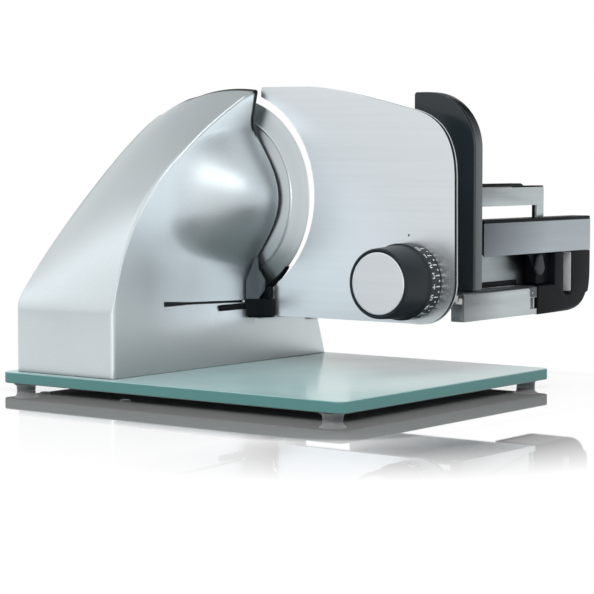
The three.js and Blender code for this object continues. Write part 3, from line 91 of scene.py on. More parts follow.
def add_piece(name, body, shape, material, nodes=(), sharp=40):
    """Closed mesh of a shape, which is its points, its faces and the numbers of its plane faces, turned
    outwards. Edges that bend by more than sharp degrees are hard; if sharp is None, only the plane faces
    are set off."""
    points, faces, plane = shape
    mesh = bpy.data.meshes.new(name)
    mesh.from_pydata(place(points).reshape(-1, 3).tolist(), [], faces)
    smooth = np.ones(len(mesh.polygons), bool)
    smooth[list(plane)] = False
    mesh.polygons.foreach_set("use_smooth", smooth)
    work = bmesh.new()
    work.from_mesh(mesh)
    bmesh.ops.recalc_face_normals(work, faces=work.faces)
    work.to_mesh(mesh)
    work.free()
    if sharp:
        mesh.set_sharp_from_angle(angle=np.radians(sharp))
    mesh.materials.append(material)
    piece = bpy.data.objects.new(name, mesh)
    bpy.context.scene.collection.objects.link(piece)
    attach(piece, body)
    if nodes:
        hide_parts(*nodes)
    return piece


def on_circle(centre, radius, angle):
    """Points in a plane at a radius and an angle round a centre."""
    return np.stack([centre[0] + radius * np.cos(angle), centre[1] + radius * np.sin(angle)], -1)


def rounded_outline(u0, v0, u1, v1, radius, steps):
    """Rectangle with four quarter circles for corners, counter-clockwise."""
    angle = np.linspace(0, np.pi / 2, steps)
    centres = [(u1 - radius, v1 - radius), (u0 + radius, v1 - radius),
               (u0 + radius, v0 + radius), (u1 - radius, v0 + radius)]
    return np.concatenate([
        on_circle(centre, radius, angle + turn * np.pi / 2) for turn, centre in enumerate(centres)])


AXES = {"x": (2, 0, 1), "y": (0, 2, 1), "z": (0, 1, 2)}


def extruded(outline, low, high, edge, axis, depth=None, steps=5):
    """A counter-clockwise outline carried along an axis. At both ends it draws in along its own normal by a
    quarter ellipse: edge across, which may differ from point to point, and depth along the axis, the same
    if not given."""
    ahead = np.roll(outline, -1, 0) - outline
    behind = outline - np.roll(outline, 1, 0)
    along = ahead / np.linalg.norm(ahead, axis=1)[:, None] + behind / np.linalg.norm(behind, axis=1)[:, None]
    inward = np.stack([-along[:, 1], along[:, 0]], 1)
    inward /= np.linalg.norm(inward, axis=1)[:, None]
    edge = np.broadcast_to(edge, len(outline))[None, :]
    depth = edge if depth is None else np.broadcast_to(depth, len(outline))[None, :]
    angle = np.linspace(0, np.pi / 2, steps)[:, None]
    draw, drop = 1 - np.sin(angle), 1 - np.cos(angle)
    inset = edge * np.concatenate([draw, draw[::-1]])
    height = np.concatenate([low + depth * drop, high - depth * drop[::-1]])
    flat = outline[None] + inset[..., None] * inward[None]
    points = np.concatenate([flat, height[..., None]], -1)[..., list(AXES[axis])]
    return points.reshape(-1, 3), *capped_faces(*inset.shape)


def new_material(name, **values):
    """Material with one Principled shader; values that are the same all over stand on its own sockets."""
    material = bpy.data.materials.new(name)
    material.use_nodes = True
    shader = material.node_tree.nodes["Principled BSDF"]
    for socket, value in values.items():
        shader.inputs[socket.replace("_", " ")].default_value = value
    return material, material.node_tree, shader


def new_group(name, inputs, outputs):
    """Empty shader node group with the named inputs and outputs."""
    group = bpy.data.node_groups.new(name, "ShaderNodeTree")
    for label, kind in inputs:
        group.interface.new_socket(label, in_out="INPUT", socket_type=kind)
    for label, kind in outputs:
        group.interface.new_socket(label, in_out="OUTPUT", socket_type=kind)
    return group, group.nodes.new("NodeGroupInput"), group.nodes.new("NodeGroupOutput")


def add_node(tree, kind, inputs=None, **settings):
    """Node of a kind, with its settings, and its inputs given as values or as sockets to link from."""
    node = tree.nodes.new(kind)
    for label, value in settings.items():
        setattr(node, label, value)
    for label, value in (inputs or {}).items():
        if isinstance(value, bpy.types.NodeSocket):
            tree.links.new(value, node.inputs[label])
        else:
            node.inputs[label].default_value = value
    return node


def map_range(tree, value, low, high, to_low=0.0, to_high=1.0):
    """Value brought from one range to another and held at its ends."""
    node = add_node(tree, "ShaderNodeMapRange", {
        "Value": value, "From Min": low, "From Max": high, "To Min": to_low, "To Max": to_high})
    return node.outputs["Result"]


def mix_colour(tree, factor, low, high):
    """Colour between two, each given as red, green and blue or as a socket."""
    mix = add_node(tree, "ShaderNodeMix", {"Factor": factor}, data_type="RGBA")
    for socket, colour in ((mix.inputs[6], low), (mix.inputs[7], high)):
        if isinstance(colour, bpy.types.NodeSocket):
            tree.links.new(colour, socket)
        else:
            socket.default_value = tuple(colour) + (1,)
    return mix.outputs[2]


def surface_place(tree):
    """Object coordinates of the point that is shaded."""
    return add_node(tree, "ShaderNodeTexCoord").outputs["Object"]


# Fine grain, for lacquered, cast and moulded surfaces: a fine noise for the height, and a tone that goes
# from a broad cloud to the fine noise as Speck goes from 0 to 1.
grain_group, grain_in, grain_out = new_group(
    "fine grain",
    [("Vector", "NodeSocketVector"), ("Scale", "NodeSocketFloat"), ("Speck", "NodeSocketFloat")],
    [("Height", "NodeSocketFloat"), ("Cloud", "NodeSocketFloat"), ("Tone", "NodeSocketFloat")],
)
speckle = add_node(grain_group, "ShaderNodeTexNoise", {
    "Vector": grain_in.outputs["Vector"], "Scale": grain_in.outputs["Scale"],
    "Detail": 3.0, "Roughness": 0.6})
cloud = add_node(grain_group, "ShaderNodeTexNoise", {
    "Vector": grain_in.outputs["Vector"], "Scale": 14.0, "Detail": 2.0, "Roughness": 0.5})
fine = map_range(grain_group, speckle.outputs["Fac"], 0.3, 0.7)
broad = map_range(grain_group, cloud.outputs["Fac"], 0.3, 0.7)
between = add_node(grain_group, "ShaderNodeMix", {"Factor": grain_in.outputs["Speck"], "A": broad, "B": fine})
grain_group.links.new(speckle.outputs["Fac"], grain_out.inputs["Height"])
grain_group.links.new(broad, grain_out.inputs["Cloud"])
grain_group.links.new(between.outputs[0], grain_out.inputs["Tone"])


def shades(colour, spread):
    """The same colour a little darker and a little lighter."""
    return [tuple(c * (1 + side * spread) for c in colour) for side in (-1, 1)]


def recolour(material, colour):
    """Links a colour socket to the material's Base Color."""
    material.node_tree.links.new(colour, material.node_tree.nodes["Principled BSDF"].inputs["Base Color"])


def grained(name, colour, rough, scale, bump, spread=0.05, speck=0.0, soft=0.05, **values):
    """Material with fine grain: its height bumps the normal, its tone moves the colour by a spread, and its
    cloud moves the roughness by soft to either side. Gives the material and the socket of its tone."""
    material, tree, shader = new_material(name, **values)
    grain = add_node(tree, "ShaderNodeGroup", {
        "Vector": surface_place(tree), "Scale": scale, "Speck": speck}, node_tree=grain_group)
    lift = add_node(tree, "ShaderNodeBump", {
        "Height": grain.outputs["Height"], "Strength": bump, "Distance": 0.0002})
    tree.links.new(lift.outputs["Normal"], shader.inputs["Normal"])
    tree.links.new(map_range(tree, grain.outputs["Cloud"], 0, 1, rough - soft, rough + soft),
                   shader.inputs["Roughness"])
    tone = mix_colour(tree, grain.outputs["Tone"], *shades(colour, spread))
    recolour(material, tone)
    return material, tone


glass, tone = grained("tinted_glass", GLASS_TOP_SHEEN, 0.14, 300.0, 0.02, 0.04, IOR=1.5, Specular_IOR_Level=0.13)
tree = glass.node_tree
height = add_node(tree, "ShaderNodeSeparateXYZ", {"Vector": surface_place(tree)}).outputs["Z"]
on_top = map_range(tree, height, level(2, -0.8), level(2, -0.1))
on_edge = map_range(tree, height, level(2, 0.2 - PLATE_THICKNESS), level(2, 0.8 - PLATE_THICKNESS))
# Painted reflection on the top and painted shade on the underside; the edges keep the glass's own teal.
recolour(glass, mix_colour(tree, on_top, mix_colour(tree, on_edge, GLASS_UNDER_SHADE, GLASS_EDGE), tone))
# Painted reflection: glossy rays see this diffuse copy instead of the glass.
painted_mirror_tone = mix_colour(tree, on_top, mix_colour(tree, on_edge, PAINTED_MIRROR_UNDER, PAINTED_MIRROR_EDGE), PAINTED_MIRROR_TOP)
painted_mirror = add_node(tree, "ShaderNodeBsdfDiffuse", {"Color": painted_mirror_tone})
either = add_node(tree, "ShaderNodeMixShader", {
    0: add_node(tree, "ShaderNodeLightPath").outputs["Is Glossy Ray"],
    1: tree.nodes["Principled BSDF"].outputs[0], 2: painted_mirror.outputs[0]})
tree.links.new(either.outputs[0], tree.nodes["Material Output"].inputs["Surface"])
outline = rounded_outline(PLATE_LEFT, 0, PLATE_RIGHT, PLATE_DEPTH, PLATE_CORNER, 12)
plate = extruded(outline, -PLATE_THICKNESS, 0, PLATE_EDGE, "z")
add_piece("plate_of_glass", "base", plate, glass, ["glass_plate"], sharp=None)

# Feet. Turned rubber buffers with a broad collar under the glass, a waist and a rounded sole.
# Each is pressed on a pin in a corner of the plate.
FOOT_BOTTOM, FOOT_TOP = -15.3, -9.3
POLE = 0.01


def turned(profile, centre, axis, segments, closed=False):
    """Profile of (radius, height) points turned about an axis through centre; its ends lie at the pole of
    the axis or, if closed, join each other."""
    profile = np.asarray(profile, float)
    angle = np.linspace(0, 2 * np.pi, segments, endpoint=False)
    around = on_circle((0, 0), profile[:, :1], angle)
    height = np.broadcast_to(profile[:, 1:], around.shape[:2])[..., None]
    points = np.concatenate([around, height], -1)[..., list(AXES[axis])] + np.asarray(centre, float)
    return points.reshape(-1, 3), grid_faces(len(profile), segments, closed), []


def curved(start, corner, end, t):
    """Points of the parabola that leaves start towards a corner and comes from the corner to its end."""
    return (1 - t) ** 2 * start + 2 * t * (1 - t) * corner + t ** 2 * end


def bowed(points, radius, steps=4):
    """Path whose inner corners are rounded: each becomes a parabola between points at most radius away from
    it."""
    points = np.asarray(points, float)
    out = [points[:1]]
    t = np.linspace(0, 1, steps + 1)[:, None]
    for before, corner, after in zip(points[:-2], points[1:-1], points[2:]):
        a, b = before - corner, after - corner
        start = corner + a * min(radius / np.linalg.norm(a), 0.48)
        end = corner + b * min(radius / np.linalg.norm(b), 0.48)
        out.append(curved(start, corner, end, t))
    out.append(points[-1:])
    return np.concatenate(out)


sole = bowed([(POLE, FOOT_BOTTOM), (7.4, FOOT_BOTTOM), (7.8, FOOT_BOTTOM + 0.9), (7.6, FOOT_BOTTOM + 2.9),
              (8.6, FOOT_TOP - 1.5), (10.1, FOOT_TOP - 1.0), (10.2, FOOT_TOP), (POLE, FOOT_TOP)], 0.9)
rubber, _ = grained("grey_rubber", (0.13, 0.145, 0.15), 0.55, 700.0, 0.12)
for number in range(1, 5):
    low, high = (np.array(corner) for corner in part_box(f"foot_{number}"))
    middle = ((low + high) / 2 - zero) * 1000
    foot = turned(sole, (middle[0], middle[1], 0), "z", 48)
    add_piece(f"rubber_foot_{number}", "base", foot, rubber, [f"foot_{number}"], 60)

# Cast tower. One hollow aluminium casting, blasted and lacquered satin silver: a swept roof, a flat near
# face, a right wall that swells round the blade axis, a groove in that wall, and a lip over the top of the
# blade. The floor of the groove and the rim beside the blade are painted near black as painted shade.
TOWER_FRONT, TOWER_BACK, TOWER_LEFT, TOWER_RIGHT, TOWER_FOOT = 9.9, 191.0, 1.1, 108.7, 0.3
AXIS_X, AXIS_Z = 72.0, 141.0
ROOF_RIGHT = [(TOWER_FRONT, 55.5), (25, 97.6), (21.4, 154.3), (TOWER_BACK, 234.6)]
ROOF_LEFT = [(TOWER_FRONT, 54), (20, 80.5), (151, 200.4), (TOWER_BACK, 214)]
ROOF_CROWN = 8.2
NEAR_ROUND, RIM_ROUND, ROOF_ROUND = 4.2, 2.2, 3.6
DOME_OUT, DOME_HALF, DOME_LENGTH = 27.0, 59.0, 116.0
DOME_FLARE, FLARE_LENGTH, DOME_RISE, RISE_LENGTH = 3.0, 28.0, 4.0, 118.0
HOLLOW_DEPTH, HOLLOW_Y, HOLLOW_LOW, HOLLOW_HIGH = 1.8, (50, 110), (28, 60), (95, 130)
GROOVE_NEAR, GROOVE_FAR, GROOVE_Z, GROOVE_FALL, GROOVE_DEPTH = 74.0, 177.0, 55.9, 0.029, 2.0
GROOVE_HALF, GROOVE_SWELL, SWELL_LENGTH = 0.8, 1.0, 38.0
LIP_REACH, LIP_INNER, LIP_OUTER, LIP_X, LIP_Y = 6.5, 78.0, 99.6, (34, 46), (176, 189)
RIDGE_Y, RIDGE_WIDTH, RIDGE_OUT, RIDGE_Z = 187.6, 0.9, 0.5, (196, 204)
# Where the rim beside the blade is painted near black as painted shade.
DARK_RIM_Y, DARK_RIM_WIDER, DARK_RIM_Z, DARK_RIM_FOOT = 189.2, 3.0, (190, 198), 41.0


def bezier(points, steps, end=False):
    """Points of a Bezier curve of any order, without its last point unless end is set."""
    p = np.array(points, float)
    t = np.linspace(0, 1, steps, endpoint=end)[:, None, None]
    row = np.broadcast_to(p[None], (steps,) + p.shape)
    while row.shape[1] > 1:
        row = row[:, :-1] * (1 - t) + row[:, 1:] * t
    return row[:, 0]


def roof_height(y, controls):
    """Height of a roof edge at each y: a cubic Bezier curve in (y, z), read off between close points."""
    curve = bezier(controls, 600, True)
    return np.interp(y, curve[:, 0], curve[:, 1])


def smooth_step(x, low, high):
    """Rises from 0 at low to 1 at high without a kink."""
    t = np.clip((x - low) / (high - low), 0, 1)
    return t * t * (3 - 2 * t)


def right_wall(y, z):
    """How far right the wall stands: a flat face, a shallow hollow in its middle, and a soft dome round the
    blade axis. Across, the dome goes with (1 - up squared) to the power 1.5, up being the distance in half
    heights, and the half height flares towards the rim; along, it falls by half a cosine wave from the rim
    to the near end."""
    reach = TOWER_BACK - y
    half_height = DOME_HALF + DOME_FLARE * np.exp(-(reach / FLARE_LENGTH) ** 2)
    up = (z - AXIS_Z - DOME_RISE * np.clip(reach / RISE_LENGTH, 0, 1)) / half_height
    across = np.maximum(1 - up ** 2, 0) ** 1.5
    length = DOME_LENGTH * np.sqrt(np.maximum(1 - up ** 4, 1e-6))
    along = (1 + np.cos(np.pi * np.clip(reach / length, 0, 1))) / 2
    band = smooth_step(z, *HOLLOW_LOW) * (1 - smooth_step(z, *HOLLOW_HIGH))
    hollow = HOLLOW_DEPTH * smooth_step(y, *HOLLOW_Y) * band
    return TOWER_RIGHT - hollow + (DOME_OUT + hollow) * across * along


def groove_share(y, z):
    """1 on the floor of the groove and 0 outside it; the groove is taller at its near end and falls a
    little."""
    half = GROOVE_HALF + GROOVE_SWELL * (1 - smooth_step(y, GROOVE_NEAR, GROOVE_NEAR + SWELL_LENGTH))
    middle = GROOVE_Z - GROOVE_FALL * (y - GROOVE_NEAR)
    inside = 1 - smooth_step(np.abs(z - middle), half - 0.15, half + 0.2)
    ends = smooth_step(y, GROOVE_NEAR - 1.4, GROOVE_NEAR) * (1 - smooth_step(y, GROOVE_FAR, GROOVE_FAR + 1.5))
    return inside * ends


# Cross-sections of the casting from the near face to the rim. They lie close together where the near edge
# and the rim are rounded, and each draws in there by its inset.
quarter = np.linspace(0, np.pi / 2, 9)
round_along, round_in = 1 - np.cos(quarter), 1 - np.sin(quarter)
near_y = TOWER_FRONT + NEAR_ROUND * round_along
rim_y = TOWER_BACK - RIM_ROUND * round_along[::-1]
middle_y = near_y[-1] + (rim_y[0] - near_y[-1]) * np.linspace(0, 1, 150)[1:-1] ** 1.1
y = np.concatenate([near_y, middle_y, rim_y])[:, None]
near_inset, rim_inset = np.zeros_like(y), np.zeros_like(y)
near_inset[:len(quarter), 0] = NEAR_ROUND * round_in
rim_inset[-len(quarter):, 0] = RIM_ROUND * round_in[::-1]
inset = near_inset + rim_inset
# Rows of points up the right wall, close together over the groove and squeezed where the wall is low.
z_right, z_left = roof_height(y, ROOF_RIGHT) - inset, roof_height(y, ROOF_LEFT) - inset
wall_top = z_right - ROOF_ROUND
fixed_rows = np.concatenate([
    np.linspace(TOWER_FOOT, 50.6, 16), np.linspace(51, 58.4, 38), np.linspace(59.2, 70, 7)])
low_rows = TOWER_FOOT + (fixed_rows[None] - TOWER_FOOT) * np.minimum(1, (wall_top - 1.5) / 78)
high_rows = low_rows[:, -1:] + (wall_top - low_rows[:, -1:]) * np.linspace(0, 1, 70)[None, 1:]
wall_z = np.concatenate([low_rows, high_rows], 1)
groove = groove_share(y, wall_z)
wall_inset = near_inset + rim_inset * smooth_step(wall_z, DARK_RIM_FOOT - 2, DARK_RIM_FOOT + 3)
wall_x = right_wall(y, wall_z) - wall_inset - GROOVE_DEPTH * groove
# The crowned roof between its two rounded edges, and the left wall down to the foot.
left = TOWER_LEFT + inset
roof_right, roof_left = wall_x[:, -1:] - ROOF_ROUND, left + ROOF_ROUND
crown = ROOF_CROWN * (y - TOWER_FRONT) / (TOWER_BACK - TOWER_FRONT)
t = np.linspace(0, 1, 40)[None]
roof_x = roof_right + (roof_left - roof_right) * t
roof_z = z_right + (z_left - z_right) * t + 4 * crown * t * (1 - t)
t = np.linspace(0, 1, 9)[None, 1:-1]
left_top = z_left - ROOF_ROUND
right_x = curved(wall_x[:, -1:], wall_x[:, -1:], roof_x[:, :1], t)
right_z = curved(wall_top, z_right, roof_z[:, :1], t)
left_x, left_z = curved(roof_x[:, -1:], left, left, t), curved(roof_z[:, -1:], z_left, left_top, t)
side_z = left_top + (TOWER_FOOT - left_top) * np.linspace(0, 1, 24)[None]
ring_x = np.concatenate([wall_x, right_x, roof_x, left_x, np.broadcast_to(left, side_z.shape)], 1)
ring_z = np.concatenate([wall_z, right_z, roof_z, left_z, side_z], 1)
# The lip draws the top of the rim out over the blade, and a fine ridge runs beside its edge.
away_x, away_z = ring_x - AXIS_X, ring_z - AXIS_Z
far = np.hypot(away_x, away_z)
lip = np.clip((far - LIP_INNER) / (LIP_OUTER - LIP_INNER), 0, 1) * smooth_step(ring_x, *LIP_X) * (away_z > 0)
ring_y = y + LIP_REACH * lip * smooth_step(y, *LIP_Y)
ridge = np.exp(-((ring_y - RIDGE_Y) / RIDGE_WIDTH) ** 2) * smooth_step(ring_z, *RIDGE_Z)
ring_x = ring_x + np.where(ring_x > TOWER_RIGHT - ROOF_ROUND, RIDGE_OUT * ridge, 0)
keep = np.minimum(0.97, LIP_INNER / far[-1])
back_x, back_z = AXIS_X + away_x[-1] * keep, AXIS_Z + away_z[-1] * keep
tower = np.concatenate([
    np.stack([ring_x, ring_y, ring_z], -1),
    np.stack([back_x, np.full(len(back_x), TOWER_BACK), back_z], -1)[None],
])
silver, tone = grained(
    "satin_silver", (0.63, 0.688, 0.708), 0.36, 1000.0, 0.07, 0.07, 0.75, 0.02, Metallic=0.94)
# Painted shade: where the attribute is 1, on the groove's floor and along the rim, the silver goes near
# black.
shade_fac = add_node(silver.node_tree, "ShaderNodeAttribute", attribute_name="dark").outputs["Fac"]
recolour(silver, mix_colour(silver.node_tree, shade_fac, tone, (0.015, 0.018, 0.02)))
shape = tower, *capped_faces(*tower.shape[:2])
housing = add_piece("cast_tower", "base", shape, silver, ["housing"], 55)
# Painted shade in the recess of the groove and in the gap between the rim and the blade.
rim = (y > DARK_RIM_Y - DARK_RIM_WIDER * smooth_step(ring_z, *DARK_RIM_Z)) * (ring_z > DARK_RIM_FOOT)
painted_shade_share = np.zeros(tower.shape[:2], np.float32)
painted_shade_share[:-1, :groove.shape[1]] = groove
painted_shade_share[:-1] = np.maximum(painted_shade_share[:-1], rim)
housing.data.attributes.new("dark", "FLOAT", "POINT").data.foreach_set("value", painted_shade_share.ravel())

# Low base. The same casting goes on behind the tower, flush with its right wall, under the carriage to a
# leaning end; its right edge stands up as a lip as far as the end of the bridge.
BASE_BACK, BASE_TOP, BASE_ROUND, BASE_LEAN = 294.0, 34.0, 3.0, 0.34
EDGE_LIP, EDGE_WIDTH, EDGE_STEP, EDGE_END = 5.2, 5.6, 0.2, (264, 274)
JOINT_Y, JOINT_INSET = 186.0, 0.4
run_y = np.linspace(TOWER_BACK, BASE_BACK - BASE_ROUND, 40)[:-1]
end_y = BASE_BACK - BASE_ROUND * round_along[::-1]
y = np.concatenate([[JOINT_Y, TOWER_BACK - 0.005], run_y, end_y])[:, None]
inset = np.concatenate([[JOINT_INSET] * 2, np.zeros(len(run_y)), BASE_ROUND * round_in[::-1]])[:, None]
lean = BASE_LEAN * np.maximum(y - TOWER_BACK, 0) / (BASE_BACK - TOWER_BACK)
round_edge = BASE_ROUND * smooth_step(y, TOWER_BACK - 1, TOWER_BACK + 5)
top = BASE_TOP - inset
edge_top = top + EDGE_STEP + EDGE_LIP * (1 - smooth_step(y, *EDGE_END))
right, left = TOWER_RIGHT - inset, TOWER_LEFT + inset
turn = np.linspace(0, np.pi / 2, 8)[None]
wall_z = TOWER_FOOT + (edge_top - round_edge - TOWER_FOOT) * np.linspace(0, 1, 12)[None, :-1]
ring_x = np.concatenate([
    np.broadcast_to(right, wall_z.shape), right - round_edge * (1 - np.cos(turn)), right - EDGE_WIDTH,
    right - EDGE_WIDTH - EDGE_STEP, left + round_edge * (1 - np.sin(turn)), left], 1)
ring_z = np.concatenate([
    wall_z, edge_top - round_edge * (1 - np.sin(turn)), edge_top,
    top, top - round_edge * (1 - np.cos(turn)), np.full_like(left, TOWER_FOOT)], 1)
ring_y = y - lean * (ring_z - TOWER_FOOT)
shape = np.stack([ring_x, ring_y, ring_z], -1), *capped_faces(*ring_x.shape)
add_piece("low_base", "base", shape, silver)

# Bridge of the glides. Two cheeks and a deck that span the guide of the stop, cast in one with the base.
# The nylon glides of the carriage are screwed on its deck.
BRIDGE_FRONT, BRIDGE_BACK = 231.9, 266.1


def slab(low, high, axis, corner, edge):
    """Block between two opposite corners, with round corners seen along an axis and round edges at its
    ends."""
    u, v, w = {"x": (1, 2, 0), "y": (0, 2, 1), "z": (0, 1, 2)}[axis]
    return extruded(rounded_outline(low[u], low[v], high[u], high[v], corner, 5), low[w], high[w], edge, axis)


for label, x0, x1, z0, z1 in (
    ("cheek", 10.6, 67.9, 31, 50), ("deck", 11, 107.5, 46, 49.98), ("leg", 104.1, 108, 31, 50),
):
    block = slab((x0, BRIDGE_FRONT, z0), (x1, BRIDGE_BACK, z1), "z", 1.2, 0.8)
    add_piece(f"bridge_{label}", "base", block, silver, sharp=None)

# Blade. A dished disc of hardened steel, turned on its face: a flat middle, a fine rib, and a broad bevel
# to the edge. It is held on its spindle by the lock in the middle.
BLADE_Y, BLADE_RADIUS, BLADE_BORE = 193.6, 86.7, 6.3
lines_group, lines_in, lines_out = new_group(
    "brushed lines", [("Vector", "NodeSocketVector")],
    [("Height", "NodeSocketFloat"), ("Tone", "NodeSocketFloat")],
)
scratch = add_node(lines_group, "ShaderNodeTexNoise", {
    "Vector": lines_in.outputs["Vector"], "Scale": 1.0, "Detail": 4.0, "Roughness": 0.7})
broad = add_node(lines_group, "ShaderNodeTexNoise", {
    "Vector": lines_in.outputs["Vector"], "Scale": 0.15, "Detail": 2.0})
lines_group.links.new(scratch.outputs["Fac"], lines_out.inputs["Height"])
lines_group.links.new(broad.outputs["Fac"], lines_out.inputs["Tone"])


def number_math(tree, operation, a, b):
    """Result of a Math node on two values or sockets."""
    return add_node(tree, "ShaderNodeMath", {0: a, 1: b}, operation=operation).outputs[0]


def vector_math(tree, operation, a, b=(0, 0, 0), result="Vector"):
    """Result of a Vector Math node on two vectors or sockets."""
    return add_node(tree, "ShaderNodeVectorMath", {0: a, 1: b}, operation=operation).outputs[result]


def stroke_vector(tree, stretch):
    """Object coordinates squeezed by a factor on each axis, so that a noise becomes strokes along the small
    one."""
    return add_node(tree, "ShaderNodeMapping", {
        "Vector": surface_place(tree), "Scale": stretch}).outputs["Vector"]


def ring_vector(tree, centre, fineness):
    """Distance from an axis along Y as the only coordinate that changes, so that a noise becomes turned
    rings."""
    moved = add_node(tree, "ShaderNodeMapping", {
        "Vector": surface_place(tree), "Location": (-centre[0], 0, -centre[2]), "Scale": (1, 0, 1)})
    far = vector_math(tree, "LENGTH", moved.outputs["Vector"], result="Value")
    return add_node(tree, "ShaderNodeCombineXYZ", {
        "X": number_math(tree, "MULTIPLY", far, fineness)}).outputs["Vector"]


def lined(name, pattern, where, colour, rough, bump, spread=0.04, soft=0.05):
    """Metal with brushed lines along a pattern of strokes or rings, given with its own values: the lines
    bump the normal and move roughness and colour. Gives the material and the socket of its tone."""
    material, tree, shader = new_material(name, Metallic=1.0)
    lines = add_node(tree, "ShaderNodeGroup", {"Vector": pattern(tree, *where)}, node_tree=lines_group)
    lift = add_node(tree, "ShaderNodeBump", {
        "Height": lines.outputs["Height"], "Strength": bump, "Distance": 0.0001})
    tree.links.new(lift.outputs["Normal"], shader.inputs["Normal"])
    tree.links.new(map_range(tree, lines.outputs["Height"], 0.3, 0.7, rough - soft, rough + soft),
                   shader.inputs["Roughness"])
    tone = mix_colour(tree, map_range(tree, lines.outputs["Tone"], 0.3, 0.7), *shades(colour, spread))
    recolour(material, tone)
    return material, tone


profile = [(BLADE_BORE, 0), (60.5, -0.4), (70.4, 2.6), (71.4, 2.5), (72.2, 3.3), (BLADE_RADIUS - 0.5, 8.8),
           (BLADE_RADIUS, 9.2), (BLADE_RADIUS - 0.8, 9.6), (70, 5), (60, 2), (BLADE_BORE, 2)]
disc = turned(bowed(np.array(profile) + (0, BLADE_Y), 0.4), (AXIS_X, 0, AXIS_Z), "y", 192, True)
blade_steel, _ = lined(
    "turned_steel", ring_vector, (place((AXIS_X, 0, AXIS_Z)), 900.0), (0.545, 0.59, 0.61), 0.31, 0.02, 0.03)
add_piece("round_blade", "blade_unit", disc, blade_steel, ["blade"], 50)

# Guard ring. Cast segment screwed to the back of the tower, in the same satin silver.
# Its plate lies behind the tower and its rim covers the edge of the blade that does not cut.
RING_INNER, RING_OUTER, RING_RIM = 58.0, 88.6, 1.2
RING_FRONT, RING_PLATE, RING_BACK = 191.3, 1.3, 206.3
RING_START, RING_FINISH = 128, 288


def swept_ring(section, start, finish, steps):
    """Section of (radius, Y) points carried round the blade axis between two angles in degrees."""
    angle = np.radians(np.linspace(start, finish, steps))[:, None]
    ring = on_circle((AXIS_X, AXIS_Z), section[None, :, 0], angle)
    along = np.broadcast_to(section[None, :, 1], ring.shape[:2])
    return np.stack([ring[..., 0], along, ring[..., 1]], -1), *capped_faces(*along.shape)


rim_inner, plate_back = RING_OUTER - RING_RIM, RING_FRONT + RING_PLATE
section = bowed([
    (RING_INNER, RING_FRONT), (RING_OUTER, RING_FRONT), (RING_OUTER, RING_BACK), (rim_inner, RING_BACK),
    (rim_inner, plate_back), (RING_INNER, plate_back), (RING_INNER, RING_FRONT)], 0.5)[:-1]
ring = swept_ring(section, RING_START, RING_FINISH, 81)
add_piece("guard_ring", "base", ring, silver, ["blade_guard"])

# Finger guard. Moulded wedge clipped on the corner of the tower: a pointed grey leaf that follows the rim
# of the blade, and a black root. A black tail under the edge of the blade closes the gap beside the stop
# plate: a dark piece put there as painted shade.
LEAF = [(108.9, 178.4, 55.0), (108.9, 178.4, 71.0), (110.6, 182.6, 79.5), (112.2, 186.6, 91.0),
        (113.6, 188.4, 90.6), (114.6, 188.6, 80.0), (120.0, 190.6, 70.5), (120.0, 190.6, 62.5),
        (117.0, 185.4, 54.9)]
LEAF_DEPTH = (-3.6, 5.6, 0)
TAIL_RADIUS, TAIL_WIDTH, TAIL_START, TAIL_FINISH = 87.2, 3.4, -62, -42
TAIL_HEEL, TAIL_FRONT, TAIL_BACK = (112.5, 57.0), 197.5, 203.4
ROOT = [(110, 55.2), (123.6, 55.2), (123.6, 65.6), (117, 65.0), (112, 60)]
ROOT_FRONT, ROOT_BACK = 191.2, 197.6


def prism(front, shift):
    """Flat-sided block: a front outline of points in space, and the same outline moved by a shift."""
    front = np.asarray(front, float)
    return np.stack([front, front + shift]), *capped_faces(2, len(front))


def facetted(shape):
    """The same shape with all its faces plane."""
    points, faces, _ = shape
    return points, faces, range(len(faces))


def plastic(name, colour, rough, scale, bump, shine):
    """Moulded plastic with fine grain; shine is the strength of what it mirrors."""
    return grained(name, colour, rough, scale, bump, IOR=1.46, Specular_IOR_Level=shine)


black, _ = plastic("black_plastic", (0.007, 0.009, 0.011), 0.38, 1300.0, 0.10, 0.06)
slate, _ = plastic("slate_plastic", (0.075, 0.092, 0.104), 0.45, 1300.0, 0.10, 0.4)
leaf = facetted(prism(LEAF, LEAF_DEPTH))
add_piece("guard_leaf", "base", leaf, slate, ["finger_guard"], sharp=None)
# The tail is a black piece put in the gap as painted shade.
angle = np.radians(np.linspace(TAIL_START, TAIL_FINISH, 24))
reach = TAIL_RADIUS + TAIL_WIDTH * np.linspace(0.02, 1, 24) ** 0.6
under_edge = on_circle((AXIS_X, AXIS_Z), TAIL_RADIUS, angle)
lower_side = on_circle((AXIS_X, AXIS_Z), reach, angle[::-1])
shade_tail = np.concatenate([under_edge, lower_side, [TAIL_HEEL]])[::-1]
shape = extruded(shade_tail, TAIL_FRONT, TAIL_BACK, 0.2, "y", steps=3)
add_piece("gap_shade_tail", "base", shape, black)
root = extruded(np.array(ROOT), ROOT_FRONT, ROOT_BACK, 0.3, "y", steps=3)
add_piece("guard_root", "base", root, black)

# Guide strip. Black moulded slide of the stop arm, a short bar with rounded ends.
# It is let into the right wall of the tower under the groove.
STRIP_LOW, STRIP_HIGH, STRIP_ROUND = (105.9, 143.6, 46.3), (109.5, 178.0, 51.4), 1.6
strip = slab(STRIP_LOW, STRIP_HIGH, "x", STRIP_ROUND, 0.5)
add_piece("guide_bar", "base", strip, black, ["guide_strip"], sharp=None)

